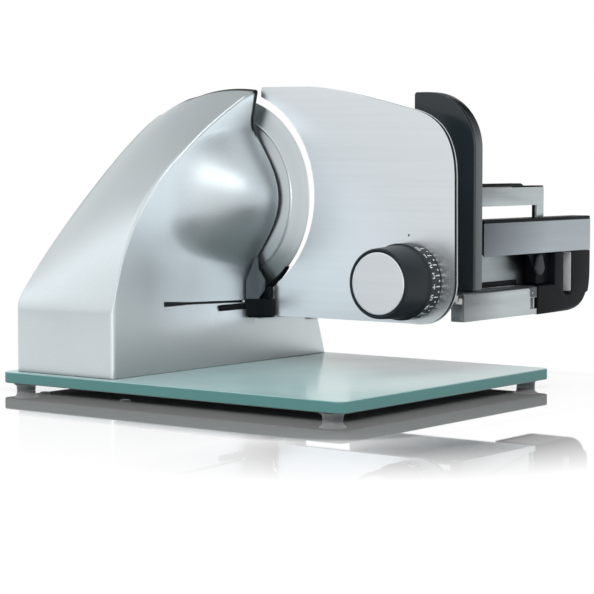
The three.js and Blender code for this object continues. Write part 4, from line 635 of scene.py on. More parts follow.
# Stop plate. Aluminium plate, brushed along its length, with dark sides, a softer edge on its free side and
# a round cut-out that runs beside the blade. The slice thickness is the step between it and the blade.
STOP_FRONT, STOP_BACK = 198.3, 203.0
STOP_LEFT, STOP_RIGHT, STOP_BOTTOM, STOP_TOP = 110.5, 306.0, 40.6, 235.3
CUT_X, CUT_Z, CUT_RADIUS, CUT_FINISH = 76.6, 143.4, 91.0, np.arcsin(-0.82)
STOP_EDGE, SOFT_EDGE, SOFT_X, SOFT_Z = 0.6, 1.2, (262, 296), (170, 215)
DARK_SIDE = (0.02, 0.024, 0.027)
cut_start = np.arccos((STOP_LEFT - CUT_X) / CUT_RADIUS)
cut_out = on_circle((CUT_X, CUT_Z), CUT_RADIUS, np.linspace(cut_start, CUT_FINISH, 91))
toe_x, toe_z = cut_out[-1]
crest, shoulder = (STOP_LEFT + 50, STOP_TOP - 0.6), (STOP_RIGHT - 44, STOP_TOP - 20)
knee, corner = (STOP_RIGHT - 0.6, STOP_TOP - 78), (STOP_RIGHT, STOP_BOTTOM + 34)
tip, heel, foot = (STOP_LEFT + 2, STOP_TOP), (toe_x - 4.5, STOP_BOTTOM + 4.5), (STOP_RIGHT - 34, STOP_BOTTOM)
outline = np.concatenate([
    bezier([crest, tip], 16),
    bezier([tip, (STOP_LEFT, STOP_TOP), (STOP_LEFT, STOP_TOP - 2)], 4),
    cut_out[:-1],
    bezier([cut_out[-1], (toe_x - 2.6, toe_z - 3), heel], 5),
    bezier([heel, (toe_x - 5.5, STOP_BOTTOM), (toe_x, STOP_BOTTOM)], 8),
    bezier([(toe_x, STOP_BOTTOM), foot], 30),
    bezier([foot, (STOP_RIGHT - 15, STOP_BOTTOM), (STOP_RIGHT, STOP_BOTTOM + 15), corner], 24),
    bezier([corner, knee], 16),
    bezier([knee, (STOP_RIGHT - 0.6, STOP_TOP - 35), (STOP_RIGHT - 21, STOP_TOP - 24.8), shoulder], 30),
    bezier([shoulder, (STOP_RIGHT - 78, STOP_TOP - 11.6), (STOP_RIGHT - 116, STOP_TOP - 2), crest], 40),
])[::-1]
free_side = smooth_step(outline[:, 0], *SOFT_X) * (1 - smooth_step(outline[:, 1], *SOFT_Z))
edge = STOP_EDGE + SOFT_EDGE * free_side
plate = extruded(outline, STOP_FRONT, STOP_BACK, edge, "y", np.minimum(edge, 1.3), 7)
brushed, tone = lined(
    "brushed_aluminium", stroke_vector, [(40.0, 900.0, 1800.0)], (0.78, 0.82, 0.85), 0.33, 0.06, 0.02, 0.02)
tree = brushed.node_tree
deep = add_node(tree, "ShaderNodeSeparateXYZ", {"Vector": surface_place(tree)}).outputs["Y"]
on_side = map_range(tree, deep, level(1, STOP_FRONT + 1.0), level(1, STOP_FRONT + 1.6))
on_back = map_range(tree, deep, level(1, STOP_BACK - 0.2), level(1, STOP_BACK - 0.1))
recolour(brushed, mix_colour(tree, on_back, mix_colour(tree, on_side, tone, DARK_SIDE), tone))
add_piece("brushed_stop_plate", "stop_unit", plate, brushed, ["stop_plate"], 60)

# Index mark of the dial. A dot stamped in the stop plate above the dial and filled with dark lacquer.
# The number that stands under it is the slice thickness.
DOT_X, DOT_Z, DOT_FRONT, DOT_BACK = 263.2, 112.3, STOP_FRONT - 0.06, STOP_FRONT + 0.2
lacquer, _ = grained("dark_lacquer", (0.04, 0.045, 0.05), 0.5, 900.0, 0.05, IOR=1.5)
dot = bowed([(POLE, DOT_FRONT), (0.95, DOT_FRONT), (1.0, DOT_BACK), (POLE, DOT_BACK)], 0.05)
shape = turned(dot, (DOT_X, 0, DOT_Z), "y", 24)
add_piece("index_dot", "stop_unit", shape, lacquer, sharp=None)

# Thickness dial. Moulded black knob on a pin through the stop plate, a little conical, with an aluminium
# cap and a collar at its back. The collar carries a printed scale: lines and dots beside the plate, numbers
# in front of them.
DIAL_X, DIAL_Z, COLLAR_RADIUS = 263.4, 74.7, 31.5
DIAL_BACK, DIAL_FRONT, PIN_RADIUS, PIN_END = STOP_FRONT - 0.3, STOP_FRONT - 44.6, 5.0, 205.3
knob = bowed([
    (POLE, DIAL_FRONT + 2.5), (25.8, DIAL_FRONT + 2.5), (25.8, DIAL_FRONT + 0.5), (27.2, DIAL_FRONT),
    (28.4, DIAL_FRONT + 0.9), (29.9, DIAL_BACK - 16.2), (30.2, DIAL_BACK - 14.6), (31.4, DIAL_BACK - 13.8),
    (COLLAR_RADIUS, DIAL_BACK - 0.5), (31.0, DIAL_BACK), (PIN_RADIUS, DIAL_BACK), (PIN_RADIUS, PIN_END),
    (POLE, PIN_END)], 0.8)
knob_black, _ = plastic("knob_plastic", (0.010, 0.016, 0.021), 0.40, 1300.0, 0.08, 0.3)
shape = turned(knob, (DIAL_X, 0, DIAL_Z), "y", 128)
add_piece("knob", "dial_unit", shape, knob_black, ["dial_knob"], 50)
cap = bowed([(POLE, DIAL_FRONT + 0.15), (24.6, DIAL_FRONT + 0.05), (25.4, DIAL_FRONT + 0.4),
             (25.5, DIAL_FRONT + 2.2), (POLE, DIAL_FRONT + 2.2)], 0.5)
bright, _ = lined(
    "turned_aluminium", stroke_vector, [(20.0, 900.0, 1500.0)], (0.72, 0.755, 0.785), 0.34, 0.05, 0.02, 0.03)
shape = turned(cap, (DIAL_X, 0, DIAL_Z), "y", 128)
add_piece("knob_cap", "dial_unit", shape, bright, ["dial_cap"])

SCALE_MARKS, MARKS_ROUND, SCALE_START, PRINT_UNDER, PRINT_OVER = 41, 44, np.radians(60), -0.2, 0.06
MARK_GAP, LINE_LENGTH, LINE_WIDTH, DOT_LENGTH, DOT_WIDTH = 1.2, 5.6, 0.95, 1.7, 1.5
DIGIT_GAP, DIGIT_STEP, DIGIT_HALF, DIGIT_WIDE, DIGIT_STROKE = 7.8, 3.6, 2.0, 2.7, 1.0
STROKES = {
    "0": [(0, 0), (1, 0), (1, 2), (0, 2), (0, 0)],
    "1": [(0.2, 1.5), (0.6, 2), (0.6, 0)],
    "2": [(0, 2), (1, 2), (1, 1), (0, 0.6), (0, 0), (1, 0)],
    "3": [(0, 2), (1, 2), (0.5, 1.1), (1, 0.8), (1, 0), (0, 0)],
    "4": [(0.8, 0), (0.8, 2), (0, 0.7), (1.1, 0.7)],
    "5": [(1, 2), (0, 2), (0, 1.1), (1, 1.1), (1, 0), (0, 0)],
    "6": [(1, 2), (0, 1), (0, 0), (1, 0), (1, 1), (0, 1)],
    "7": [(0, 2), (1, 2), (0.3, 0)],
    "8": [(0, 0), (1, 0), (1, 2), (0, 2), (0, 0), (0, 1), (1, 1)],
    "9": [(0, 0), (1, 1), (1, 2), (0, 2), (0, 1), (1, 1)],
}


def printed(path, width):
    """Thin band on the collar along a path of (turn, Y) millimetres: four rows of points, half the width to
    either side of the path, under and over the collar's face. Gives its points and faces."""
    path = np.array(path, float)
    step = np.gradient(path, axis=0)
    side = np.stack([-step[:, 1], step[:, 0]], 1)
    side *= width / 2 / np.linalg.norm(side, axis=1)[:, None]
    edges = np.stack([path - side, path + side, path + side, path - side], 1)
    radius = COLLAR_RADIUS + np.array([PRINT_UNDER, PRINT_UNDER, PRINT_OVER, PRINT_OVER])
    ring = on_circle((DIAL_X, DIAL_Z), radius, edges[..., 0] / COLLAR_RADIUS + SCALE_START)
    points = np.stack([ring[..., 0], edges[..., 1], ring[..., 1]], -1)
    return points.reshape(-1, 3), capped_faces(len(path), 4)[0]


marks = []
for number in range(SCALE_MARKS):
    turn = -number * 2 * np.pi * COLLAR_RADIUS / MARKS_ROUND
    digits = str(number // 2) if number % 2 == 0 else ""
    length, width = (LINE_LENGTH, LINE_WIDTH) if digits else (DOT_LENGTH, DOT_WIDTH)
    marks.append(printed([(turn, DIAL_BACK - MARK_GAP), (turn, DIAL_BACK - MARK_GAP - length)], width))
    for order, digit in enumerate(digits):
        strokes = np.array(STROKES[digit])
        start = DIAL_BACK - DIGIT_GAP - DIGIT_STEP * (len(digits) - order)
        path = np.stack([turn + DIGIT_HALF * (strokes[:, 1] - 1), start + DIGIT_WIDE * strokes[:, 0]], 1)
        marks.append(printed(path, DIGIT_STROKE))
points = np.concatenate([p for p, _ in marks])
starts = np.cumsum([0] + [len(p) for p, _ in marks[:-1]])
faces = [[int(start + corner) for corner in face] for start, (_, part) in zip(starts, marks) for face in part]
white_print, _ = grained("white_print", (0.80, 0.81, 0.81), 0.55, 1200.0, 0.03)
add_piece("printed_scale", "dial_unit", facetted((points, faces, [])), white_print, sharp=None)

# Arm of the stop. Black moulded cheek with bevels beside the tower and a black bar behind the plate,
# screwed to it. A cast tongue runs from the bar through a channel on the base.
CHEEK = [(109.8, 179.4), (116.6, 183.3), (120.4, 188.4), (125.2, 192.6), (125.2, 198.0), (109.8, 198.0)]
CHEEK_LOW, CHEEK_HIGH, CHEEK_EDGE = 38.6, 55.0, 1.8
TONGUE_LEFT, TONGUE_FRONT, TONGUE_LOW, TONGUE_HIGH = 72, 212, 39.6, 45.6


def dress(material, *nodes):
    """Gives carried-over solids one material."""
    for node in nodes:
        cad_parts[node].data.materials.clear()
        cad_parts[node].data.materials.append(material)


dress(silver, "stop_guide")
cheek = extruded(np.array(CHEEK), CHEEK_LOW, CHEEK_HIGH, CHEEK_EDGE, "z", steps=4)
add_piece("arm_cheek", "stop_unit", facetted(cheek), black, ["stop_arm"], sharp=None)
for label, low, high, finish in (
    ("tongue", (TONGUE_LEFT, TONGUE_FRONT, TONGUE_LOW), (100, 271, TONGUE_HIGH), silver),
    ("cross", (TONGUE_LEFT, TONGUE_FRONT, TONGUE_LOW), (119, 222, TONGUE_HIGH), silver),
    ("bar", (115.6, 203.2, 43), (250, 212.8, 54), black),
):
    add_piece(f"arm_{label}", "stop_unit", slab(low, high, "z", 0.8, 0.4), finish)

# Rail and glides of the carriage. A drawn aluminium rail screwed under the table, in pale nylon channels on
# the bridge. The gear of the drive is of the same nylon.
dress(bright, "carriage_rail")
nylon, _ = grained("pale_nylon", (0.66, 0.62, 0.52), 0.5, 500.0, 0.05)
dress(nylon, "carriage_glide_1", "carriage_glide_2", "drive_gear")

# Carriage table. Bent stainless sheet, brushed along the blade: a top that turns down at its outer end,
# with a short return at the near corner that holds a hook, and a notch and a small latch plate at the far
# corner. The sheet is painted darker towards the near end as painted shade. In the return, a black plate
# above the hook is painted shade, and the hook is white as a painted glint.
TABLE_LEFT, TABLE_FRONT, TABLE_BACK, TABLE_END = 110.0, 215.3, 331.0, 306.0
TABLE_TOP, TABLE_BOTTOM, SHEET, BEND = 65.8, 41.8, 2.0, 3.0
NOTCH_Y, NOTCH_LOW, NOTCH_HIGH = 320.5, 46.6, 56.2
HOOK = [(297.8, 63.4), (297.8, 58.4), (299.4, 56.6), (303.6, 56.6), (303.6, 61.0), (301.8, 61.0),
        (301.8, 58.6), (300.2, 58.6), (300.2, 63.4)]
HOOK_FRONT, HOOK_BACK = 213.9, 216.6
SHADE_PLATE_LOW, SHADE_PLATE_HIGH = (293.2, 217.4, 56.8), (304, 218.4, 64)
LATCH_LOW, LATCH_HIGH, LATCH_PIN = (305.6, 321.0, 56.6), (306.35, 330.4, 65.0), (0, 323.4, 60.4)


def shade_along(material, tone, dark, direction, start, finish):
    """Paints shade into a material's colour: from a dark tone at the first of two points to its own tone at
    the second."""
    tree = material.node_tree
    run = vector_math(tree, "DOT_PRODUCT", surface_place(tree), direction, "Value")
    low, high = (float(np.dot(place(point), direction)) for point in (start, finish))
    recolour(material, mix_colour(tree, map_range(tree, run, low, high), dark, tone))


sheet, tone = lined(
    "brushed_sheet", stroke_vector, [(900.0, 18.0, 1300.0)], (0.465, 0.51, 0.526), 0.32, 0.06, 0.05)
# Painted shade: the sheet goes darker towards the near end of the table.
shade_along(sheet, tone, (0.22, 0.23, 0.24), (0, 1, 0), (306, 210, 50), (306, 275, 50))
bend = np.linspace(np.pi / 2, 0, 8)
bend_at = (TABLE_END - BEND, TABLE_TOP - BEND)
top_sheet = np.concatenate([
    [(TABLE_LEFT, TABLE_TOP)], on_circle(bend_at, BEND, bend), on_circle(bend_at, BEND - SHEET, bend[::-1]),
    [(TABLE_LEFT, TABLE_TOP - SHEET)]])[::-1]
shape = extruded(top_sheet, TABLE_FRONT, TABLE_BACK, 0.3, "y", steps=3)
add_piece("table_top", "carriage", shape, sheet, ["carriage_table"])
end_front, end_top = TABLE_FRONT + 0.6, TABLE_TOP - BEND
end_wall = np.array([
    (end_front, TABLE_BOTTOM), (TABLE_BACK, TABLE_BOTTOM), (TABLE_BACK, NOTCH_LOW), (NOTCH_Y, NOTCH_LOW),
    (NOTCH_Y, NOTCH_HIGH), (TABLE_BACK, NOTCH_HIGH), (TABLE_BACK, end_top), (end_front, end_top)])
shape = extruded(end_wall, TABLE_END - SHEET, TABLE_END, 0.3, "x", steps=3)
add_piece("table_end", "carriage", shape, sheet)
for label, low, high, corner in (
    ("front_lip", (TABLE_LEFT, TABLE_FRONT, 55.8), (303, TABLE_FRONT + SHEET, 64.2), 0.8),
    ("back_lip", (TABLE_LEFT, 329, 42), (303.9, 330.9, 64.2), 0.8),
    ("return", (293, 215.9, TABLE_BOTTOM), (304.4, 217.9, 57.2), 1.0),
):
    add_piece(f"table_{label}", "carriage", slab(low, high, "y", corner, 0.3), sheet)
# The small steel hook is coloured white as a painted glint.
hook = extruded(np.array(HOOK), HOOK_FRONT, HOOK_BACK, 0.2, "y", steps=3)
add_piece("table_hook", "carriage", facetted(hook), white_print, sharp=None)
# A black plate above the hook, put where the return is in shade: painted shade.
shade_plate = slab(SHADE_PLATE_LOW, SHADE_PLATE_HIGH, "y", 0.5, 0.2)
add_piece("hook_shade_plate", "carriage", shade_plate, black, sharp=None)
latch = slab(LATCH_LOW, LATCH_HIGH, "x", 0.6, 0.2)
add_piece("latch_plate", "carriage", latch, slate, sharp=None)
pin = [(POLE, 306.7), (0.7, 306.7), (0.9, 306.5), (0.9, TABLE_END), (POLE, TABLE_END)]
add_piece("latch_pin", "carriage", turned(pin, LATCH_PIN, "x", 20), sheet)

# Back wall. Brushed sheet that stands on the table behind the grip, screwed to the table's edge. It is
# painted darker towards its far upper end as painted shade, and a black strip along its foot is painted
# shade in the gap over the table.
WALL_FRONT, WALL_BACK, WALL_OUTER, WALL_FOOT, WALL_TOP = 246, 361.7, 288, 66.1, 123.2
FOOT_SHADE_BACK, FOOT_SHADE_TOP = 326, 71.0
wall_sheet, tone = lined(
    "wall_sheet", stroke_vector, [(900.0, 18.0, 1300.0)], (0.315, 0.35, 0.368), 0.34, 0.06, 0.05)
# Painted shade: the sheet goes darker towards its far, upper end.
shade_along(wall_sheet, tone, (0.03, 0.035, 0.04), (0, 0.8, 0.6), (WALL_OUTER, 350, 90), (WALL_OUTER, 290, 76))
wall = slab((WALL_OUTER - SHEET, WALL_FRONT, WALL_FOOT), (WALL_OUTER, WALL_BACK, WALL_TOP), "x", 3, 0.3)
add_piece("back_sheet", "carriage", wall, wall_sheet, ["back_wall"])
# A black strip along the foot, painted shade in the gap over the table.
foot_shade = slab(
    (WALL_OUTER - 0.1, WALL_FRONT + 1, WALL_FOOT), (WALL_OUTER + 0.9, FOOT_SHADE_BACK, FOOT_SHADE_TOP), "x", 0.6, 0.3)
add_piece("wall_foot_shade", "carriage", foot_shade, black)

# Grip rail. Black moulded beam that carries the saddle of the pusher, screwed to the back wall.
# It is faced with a brushed steel band, and a black cap closes it above the band.
RAIL_FRONT, RAIL_BACK, RAIL_OUTER = 246, 424, 306
BAND_LOW, BAND_HIGH, BAND_SHEET = 93.8, 121.4, 1.6
CAP_INNER, CAP_LOW, CAP_HIGH = 302.4, 119, 124.1
dress(black, "grip_rail")
band_steel, tone = lined(
    "band_steel", stroke_vector, [(900.0, 14.0, 1300.0)], (0.372, 0.417, 0.445), 0.34, 0.05, 0.04)
# Painted shade: the band goes darker towards its near end and its top.
shade_along(band_steel, tone, (0.13, 0.145, 0.16), (0, 0.9, -0.6),
           (RAIL_OUTER, 245, 115), (RAIL_OUTER, 350, 105))
band = slab(
    (RAIL_OUTER - BAND_SHEET, RAIL_FRONT, BAND_LOW), (RAIL_OUTER, RAIL_BACK, BAND_HIGH), "x", 1.2, 0.4)
add_piece("rail_band", "carriage", band, band_steel, ["steel_band"])
cap = slab(
    (CAP_INNER, RAIL_FRONT + 0.2, CAP_LOW), (RAIL_OUTER - 0.3, RAIL_BACK - 0.2, CAP_HIGH), "x", 1.0, 0.4)
add_piece("rail_cap", "carriage", cap, black)

# Hand guard. Black moulding under the far end of the rail, hung on it by screws from above: a thick plate
# with a big round lower corner, a step for the grip, and a slot for the fingertips whose far side is pale,
# a painted highlight on the black moulding.
GUARD_FRONT, GUARD_STEP, GUARD_BACK, GUARD_LOW, GUARD_HIGH = 333.0, 362.0, 424.0, 41.0, 93.5
GUARD_INNER, GUARD_OUTER, GUARD_FLOOR = 265.0, 306.0, 272.4
SLOT_NEAR, SLOT_FAR, SLOT_FOOT = 377.0, 391.0, 55.5
lower_corner = bezier([
    (GUARD_BACK - 38, GUARD_LOW), (GUARD_BACK - 10, GUARD_LOW), (GUARD_BACK, GUARD_LOW + 10),
    (GUARD_BACK, GUARD_LOW + 36)], 20, True)
shell = np.concatenate([
    [(GUARD_FRONT, TABLE_TOP - 3), (GUARD_FRONT, GUARD_LOW + 2), (GUARD_FRONT + 2, GUARD_LOW)], lower_corner,
    [(GUARD_BACK, GUARD_HIGH), (SLOT_FAR, GUARD_HIGH), (SLOT_FAR, SLOT_FOOT + 4.5),
     (SLOT_FAR - 1.5, SLOT_FOOT + 1.5), (SLOT_FAR - 5, SLOT_FOOT), (SLOT_NEAR + 5, SLOT_FOOT),
     (SLOT_NEAR + 1.5, SLOT_FOOT + 1.5), (SLOT_NEAR, SLOT_FOOT + 4.5), (SLOT_NEAR, GUARD_HIGH),
     (GUARD_STEP, GUARD_HIGH), (GUARD_STEP, TABLE_TOP), (GUARD_FRONT + 3, TABLE_TOP)],
])
at_corner = smooth_step(shell[:, 0], 345, 400) * (1 - smooth_step(shell[:, 1], 60, 80)) * (shell[:, 1] < 55)
shape = extruded(shell, GUARD_INNER, GUARD_OUTER, 1.0 + 4.0 * at_corner, "x", steps=7)
add_piece("guard_shell", "carriage", shape, black, ["hand_guard"])
backing = np.concatenate([
    [(GUARD_FRONT, TABLE_TOP), (GUARD_FRONT, GUARD_LOW)], lower_corner,
    [(GUARD_BACK, GUARD_HIGH), (GUARD_STEP, GUARD_HIGH), (GUARD_STEP, TABLE_TOP)],
])
shape = extruded(backing, GUARD_INNER - 1, GUARD_FLOOR, 1.0, "x")
add_piece("guard_backing", "carriage", shape, black)
# Painted highlight: the far side of the slot is a pale plate where the black moulding catches the light.
slot_glint, _ = plastic("slot_highlight", (0.62, 0.65, 0.66), 0.4, 900.0, 0.05, 0.5)
cheek = slab((273, SLOT_FAR - 0.8, SLOT_FOOT + 2), (305.2, SLOT_FAR + 0.1, 93.2), "y", 1.5, 0.2)
add_piece("slot_cheek", "carriage", cheek, slot_glint)

# Grip and lock lever. Black moulded grip in the step of the guard, with a funnel in relief, and in front of
# it the small dark grey lever that locks the carriage. The lever turns on a pin in the grip.
LEVER_Y, LEVER_LOW, LEVER_HIGH = 339.6, 82.0, 87.0
LEVER_WIDE, LEVER_NARROW, LEVER_POINT = 7.4, 5.0, 5.8
grip = slab((288.3, 340, WALL_FOOT), (299.6, WALL_BACK, GUARD_HIGH), "x", 2.5, 0.8)
add_piece("grip_block", "carriage", grip, black, ["hand_grip"])
half_funnel = bezier([(18, 93.2), (12, 92), (9, 87), (LEVER_WIDE, 81.5)], 12, True)
funnel = np.concatenate([half_funnel, half_funnel[::-1] * (-1, 1)]) + (LEVER_Y, 0)
add_piece("grip_funnel", "carriage", extruded(funnel[::-1], 299, 301, 0.8, "x"), black)
turn = np.linspace(0, 2 * np.pi, 48, endpoint=False)
upper = np.sin(turn) > 0
lever_y = LEVER_Y + np.where(upper, LEVER_NARROW, LEVER_WIDE) * np.cos(turn)
lever_z = np.where(upper, LEVER_HIGH, LEVER_LOW) + np.where(upper, LEVER_POINT, LEVER_WIDE) * np.sin(turn)
lever_grey, _ = plastic("lever_plastic", (0.032, 0.038, 0.042), 0.45, 700.0, 0.08, 0.2)
lever = extruded(np.stack([lever_y, lever_z], 1), 301.4, 305, 1.5, "x")
add_piece("lever_head", "lever", lever, lever_grey, ["lock_lever"])

# Pusher. Two moulded plates screwed together back to back, a dark slate one in front and a grey one behind,
# with a fine groove between them; one upper corner is as round as a hand.
PUSHER_LEFT, PUSHER_RIGHT, PUSHER_LOW, PUSHER_HIGH, PUSHER_ROUND = 247.0, 305.6, 66.4, 229.6, 47.0


def pusher_outline(grow):
    """Outline of the pusher plate in (X, Z), with one big round corner; grow moves it outwards."""
    left, right, low, high = PUSHER_LEFT - grow, PUSHER_RIGHT + grow, PUSHER_LOW - grow, PUSHER_HIGH + grow
    pull = 0.45 * PUSHER_ROUND
    corner = bezier([(right, high - PUSHER_ROUND), (right, high - pull), (right - pull, high),
                     (right - PUSHER_ROUND, high)], 24, True)
    return np.concatenate([
        [(left + 2, low), (right - 2, low), (right - 0.6, low + 0.6), (right, low + 2)], corner,
        [(left + 2, high), (left + 0.6, high - 0.6), (left, high - 2), (left, low + 2),
         (left + 0.6, low + 0.6)]])


front_slate, _ = grained(
    "pusher_front", (0.019, 0.027, 0.033), 0.20, 1100.0, 0.06, IOR=1.5, Specular_IOR_Level=0.4)
back_grey, tone = plastic("pusher_back", (0.10, 0.115, 0.125), 0.35, 1100.0, 0.08, 0.4)
# Painted shade: the grey back plate goes near black towards its top.
shade_along(back_grey, tone, (0.006, 0.008, 0.010), (0, 0, 1), (300, 240, 215), (300, 240, 185))
for label, grow, front, back, edge, finish, nodes in (
    ("front", 0, 230, 231.8, 0.5, front_slate, ["pusher_plate"]),
    ("seam", -1.4, 231.4, 233.8, 0.1, black, []),
    ("back", 0, 233.4, 243.5, 0.8, back_grey, []),
):
    shape = extruded(pusher_outline(grow), front, back, edge, "y")
    add_piece(f"pusher_{label}", "pusher", shape, finish, nodes)

# Saddle of the pusher. Bent steel bracket that runs from the pusher over the rail, with a leg that dips
# into the rail's track, a black filler in the leg and a black pad on top for the thumb.
SADDLE_NEAR, SADDLE_FAR, SADDLE_LOW, SADDLE_HIGH = 243.8, 350.0, 135.0, 150.5
LEG_NEAR, LEG_LOW, SADDLE_OUTER, SADDLE_INNER = 338.0, 117.8, 301.0, 289.0
side = np.array([
    (SADDLE_NEAR, SADDLE_LOW), (LEG_NEAR, SADDLE_LOW), (LEG_NEAR, LEG_LOW), (SADDLE_FAR, LEG_LOW),
    (SADDLE_FAR, SADDLE_HIGH), (SADDLE_NEAR, SADDLE_HIGH)])
shape = extruded(side, SADDLE_OUTER - SHEET, SADDLE_OUTER, 0.3, "x", steps=3)
add_piece("saddle_side", "pusher", shape, sheet, ["pusher_saddle"])
for label, low, high, corner, finish, slot in (
    ("saddle_top", (SADDLE_INNER, SADDLE_NEAR, 148.5), (299.2, SADDLE_FAR, 150.4), 0.8, sheet, "sheet_steel"),
    ("leg_filler", (296.3, 337.7, 118), (299.4, 349.6, 135.4), 0.5, black, "black_plastic"),
    ("saddle_strip", (289.4, 315, 150.3), (300.8, 349.8, 151.7), 1.0, black, "black_plastic"),
):
    add_piece(label, "pusher", slab(low, high, "z", corner, 0.3), finish)
pad = np.array([(SADDLE_NEAR, 150.8), (317.5, 150.8), (317.5, 151.6), (314, 153.4), (312, 153.8),
                (SADDLE_NEAR, 153.8)])
shape = extruded(pad, SADDLE_INNER + 0.5, SADDLE_OUTER - 0.3, 0.4, "x", steps=4)
add_piece("thumb_pad", "pusher", shape, black, ["saddle_pad"])

# Drive and fasteners. Bright steel bearings, shafts and sheets and an iron motor inside the closed tower,
# blackened screws through the glass, and black mouldings: the switch and the inlet on the left wall and the
# lock of the blade.
plain_steel, _ = lined("plain_steel", stroke_vector, [(900.0, 900.0, 60.0)], (0.55, 0.56, 0.57), 0.36, 0.08)
dress(plain_steel, "bottom_cover", "motor_bracket", "motor_rotor", "worm", "spindle", "spindle_bearing_rear",
      "spindle_bearing_front", "motor_bearing_lower", "motor_bearing_upper", "stop_screw_1", "stop_screw_2")
dress(lacquer, *(f"base_screw_{number}" for number in range(1, 5)))
iron, _ = grained("motor_iron", (0.16, 0.12, 0.09), 0.5, 400.0, 0.2, Metallic=0.6)
dress(iron, "motor_stator")
dress(black, "switch_frame", "switch_rocker", "cable_inlet", "blade_lock")

# Floor of the studio. White and polished like acrylic: it keeps the shadow under the machine, mirrors the
# machine near the glass and on its right, and fades into the white backdrop. Seen from above it does not
# mirror.
FLOOR_HALF, FLOOR_WHITE, FADE = 9.0, (0.90, 0.90, 0.90, 1), (0.0, 0.12)
MIRROR_NEAR, MIRROR_WIDE = (0.08, 0.115, 0.84, 0.0), (0.13, 0.26, 1.0, 0.0)
MIRROR_X, LOW_VIEW = (0.17, 0.30, 0.12, 0.88), (0.77, 0.865)
WHITE = (1, 1, 1, 1)


def add_stage(name, corners, material):
    """Four-cornered sheet that belongs to the studio and not to the machine."""
    mesh = bpy.data.meshes.new(name)
    mesh.from_pydata([tuple(corner) for corner in corners], [], [(0, 1, 2, 3)])
    mesh.materials.append(material)
    stage = bpy.data.objects.new(name, mesh)
    bpy.context.scene.collection.objects.link(stage)
    return stage


floor_white, tree, shader = new_material("white_floor", Roughness=0.5, Base_Color=FLOOR_WHITE)
middle = place(((PLATE_LEFT + PLATE_RIGHT) / 2, PLATE_DEPTH / 2, 0))
half = ((PLATE_RIGHT - PLATE_LEFT) / 2000, PLATE_DEPTH / 2000, 0)
where = surface_place(tree)
from_middle = vector_math(tree, "ABSOLUTE", vector_math(tree, "SUBTRACT", where, (middle[0], middle[1], 0)))
outside = vector_math(tree, "MAXIMUM", vector_math(tree, "SUBTRACT", from_middle, half))
far = vector_math(tree, "LENGTH", outside, result="Value")
glow = add_node(tree, "ShaderNodeEmission", {"Color": WHITE, "Strength": 1.0}).outputs[0]
ground = add_node(tree, "ShaderNodeMixShader", {
    0: map_range(tree, far, *FADE), 1: shader.outputs[0], 2: glow})
mirror = add_node(tree, "ShaderNodeBsdfGlossy", {"Color": WHITE, "Roughness": 0.02})
across = add_node(tree, "ShaderNodeSeparateXYZ", {"Vector": where}).outputs["X"]
right_side = number_math(
    tree, "MULTIPLY", map_range(tree, far, *MIRROR_WIDE), map_range(tree, across, *MIRROR_X))
weight = number_math(tree, "MAXIMUM", map_range(tree, far, *MIRROR_NEAR), right_side)
facing = add_node(tree, "ShaderNodeLayerWeight", {"Blend": 0.5}).outputs["Facing"]
shine = number_math(tree, "MULTIPLY", weight, map_range(tree, facing, *LOW_VIEW))
both = add_node(tree, "ShaderNodeMixShader", {0: shine, 1: ground.outputs[0], 2: mirror.outputs[0]})
glossy = add_node(tree, "ShaderNodeLightPath").outputs["Is Glossy Ray"]
shown = add_node(tree, "ShaderNodeMixShader", {0: glossy, 1: both.outputs[0], 2: glow})
tree.links.new(shown.outputs[0], tree.nodes["Material Output"].inputs["Surface"])
corners = [(FLOOR_HALF * u, FLOOR_HALF * v, 0) for u, v in ((-1, -1), (1, -1), (1, 1), (-1, 1))]
add_stage("floor", corners, floor_white)

# Backdrop and lamps. A white surround for the camera, for mirrors and for glass, which lights the machine
# only weakly, and three soft square lamps that leave no mirror image.
SURROUND_LIGHT = 0.45
LAMP_AIM = (0, 0, 0.1)
world = bpy.data.worlds.new("studio")
bpy.context.scene.world = world
world.use_nodes = True
tree = world.node_tree
path = add_node(tree, "ShaderNodeLightPath").outputs
seen = number_math(tree, "MAXIMUM", path["Is Camera Ray"], path["Is Glossy Ray"])
seen = number_math(tree, "MAXIMUM", seen, path["Is Transmission Ray"])
lit = add_node(tree, "ShaderNodeBackground", {"Color": WHITE, "Strength": SURROUND_LIGHT})
shown = add_node(tree, "ShaderNodeBackground", {"Color": WHITE, "Strength": 1.0})
mixed = add_node(tree, "ShaderNodeMixShader", {0: seen, 1: lit.outputs[0], 2: shown.outputs[0]})
tree.links.new(mixed.outputs[0], tree.nodes["World Output"].inputs["Surface"])
for name, stand, size, power in (
    ("key", (0.9, -1.1, 1.5), 0.9, 12), ("top", (-0.2, 0.1, 1.8), 1.4, 14),
    ("left", (-1.6, -0.9, 0.8), 1.0, 6.5),
):
    lamp_data = bpy.data.lights.new(name, "AREA")
    lamp_data.size = size
    lamp_data.energy = power
    lamp = bpy.data.objects.new(name, lamp_data)
    lamp.location = stand
    lamp.rotation_mode = "QUATERNION"
    lamp.rotation_quaternion = (Vector(LAMP_AIM) - Vector(stand)).to_track_quat("-Z", "Y")
    lamp.visible_glossy = False
    bpy.context.scene.collection.objects.link(lamp)

# Cards. Flat sheets of one tone round the machine that only reflections see, as a photographer sets them
# up: they give the satin metal its light and dark sides, the line along the roof and the spot on the dome.
CARD_AIM = np.array([-0.02, -0.05, 0.14])


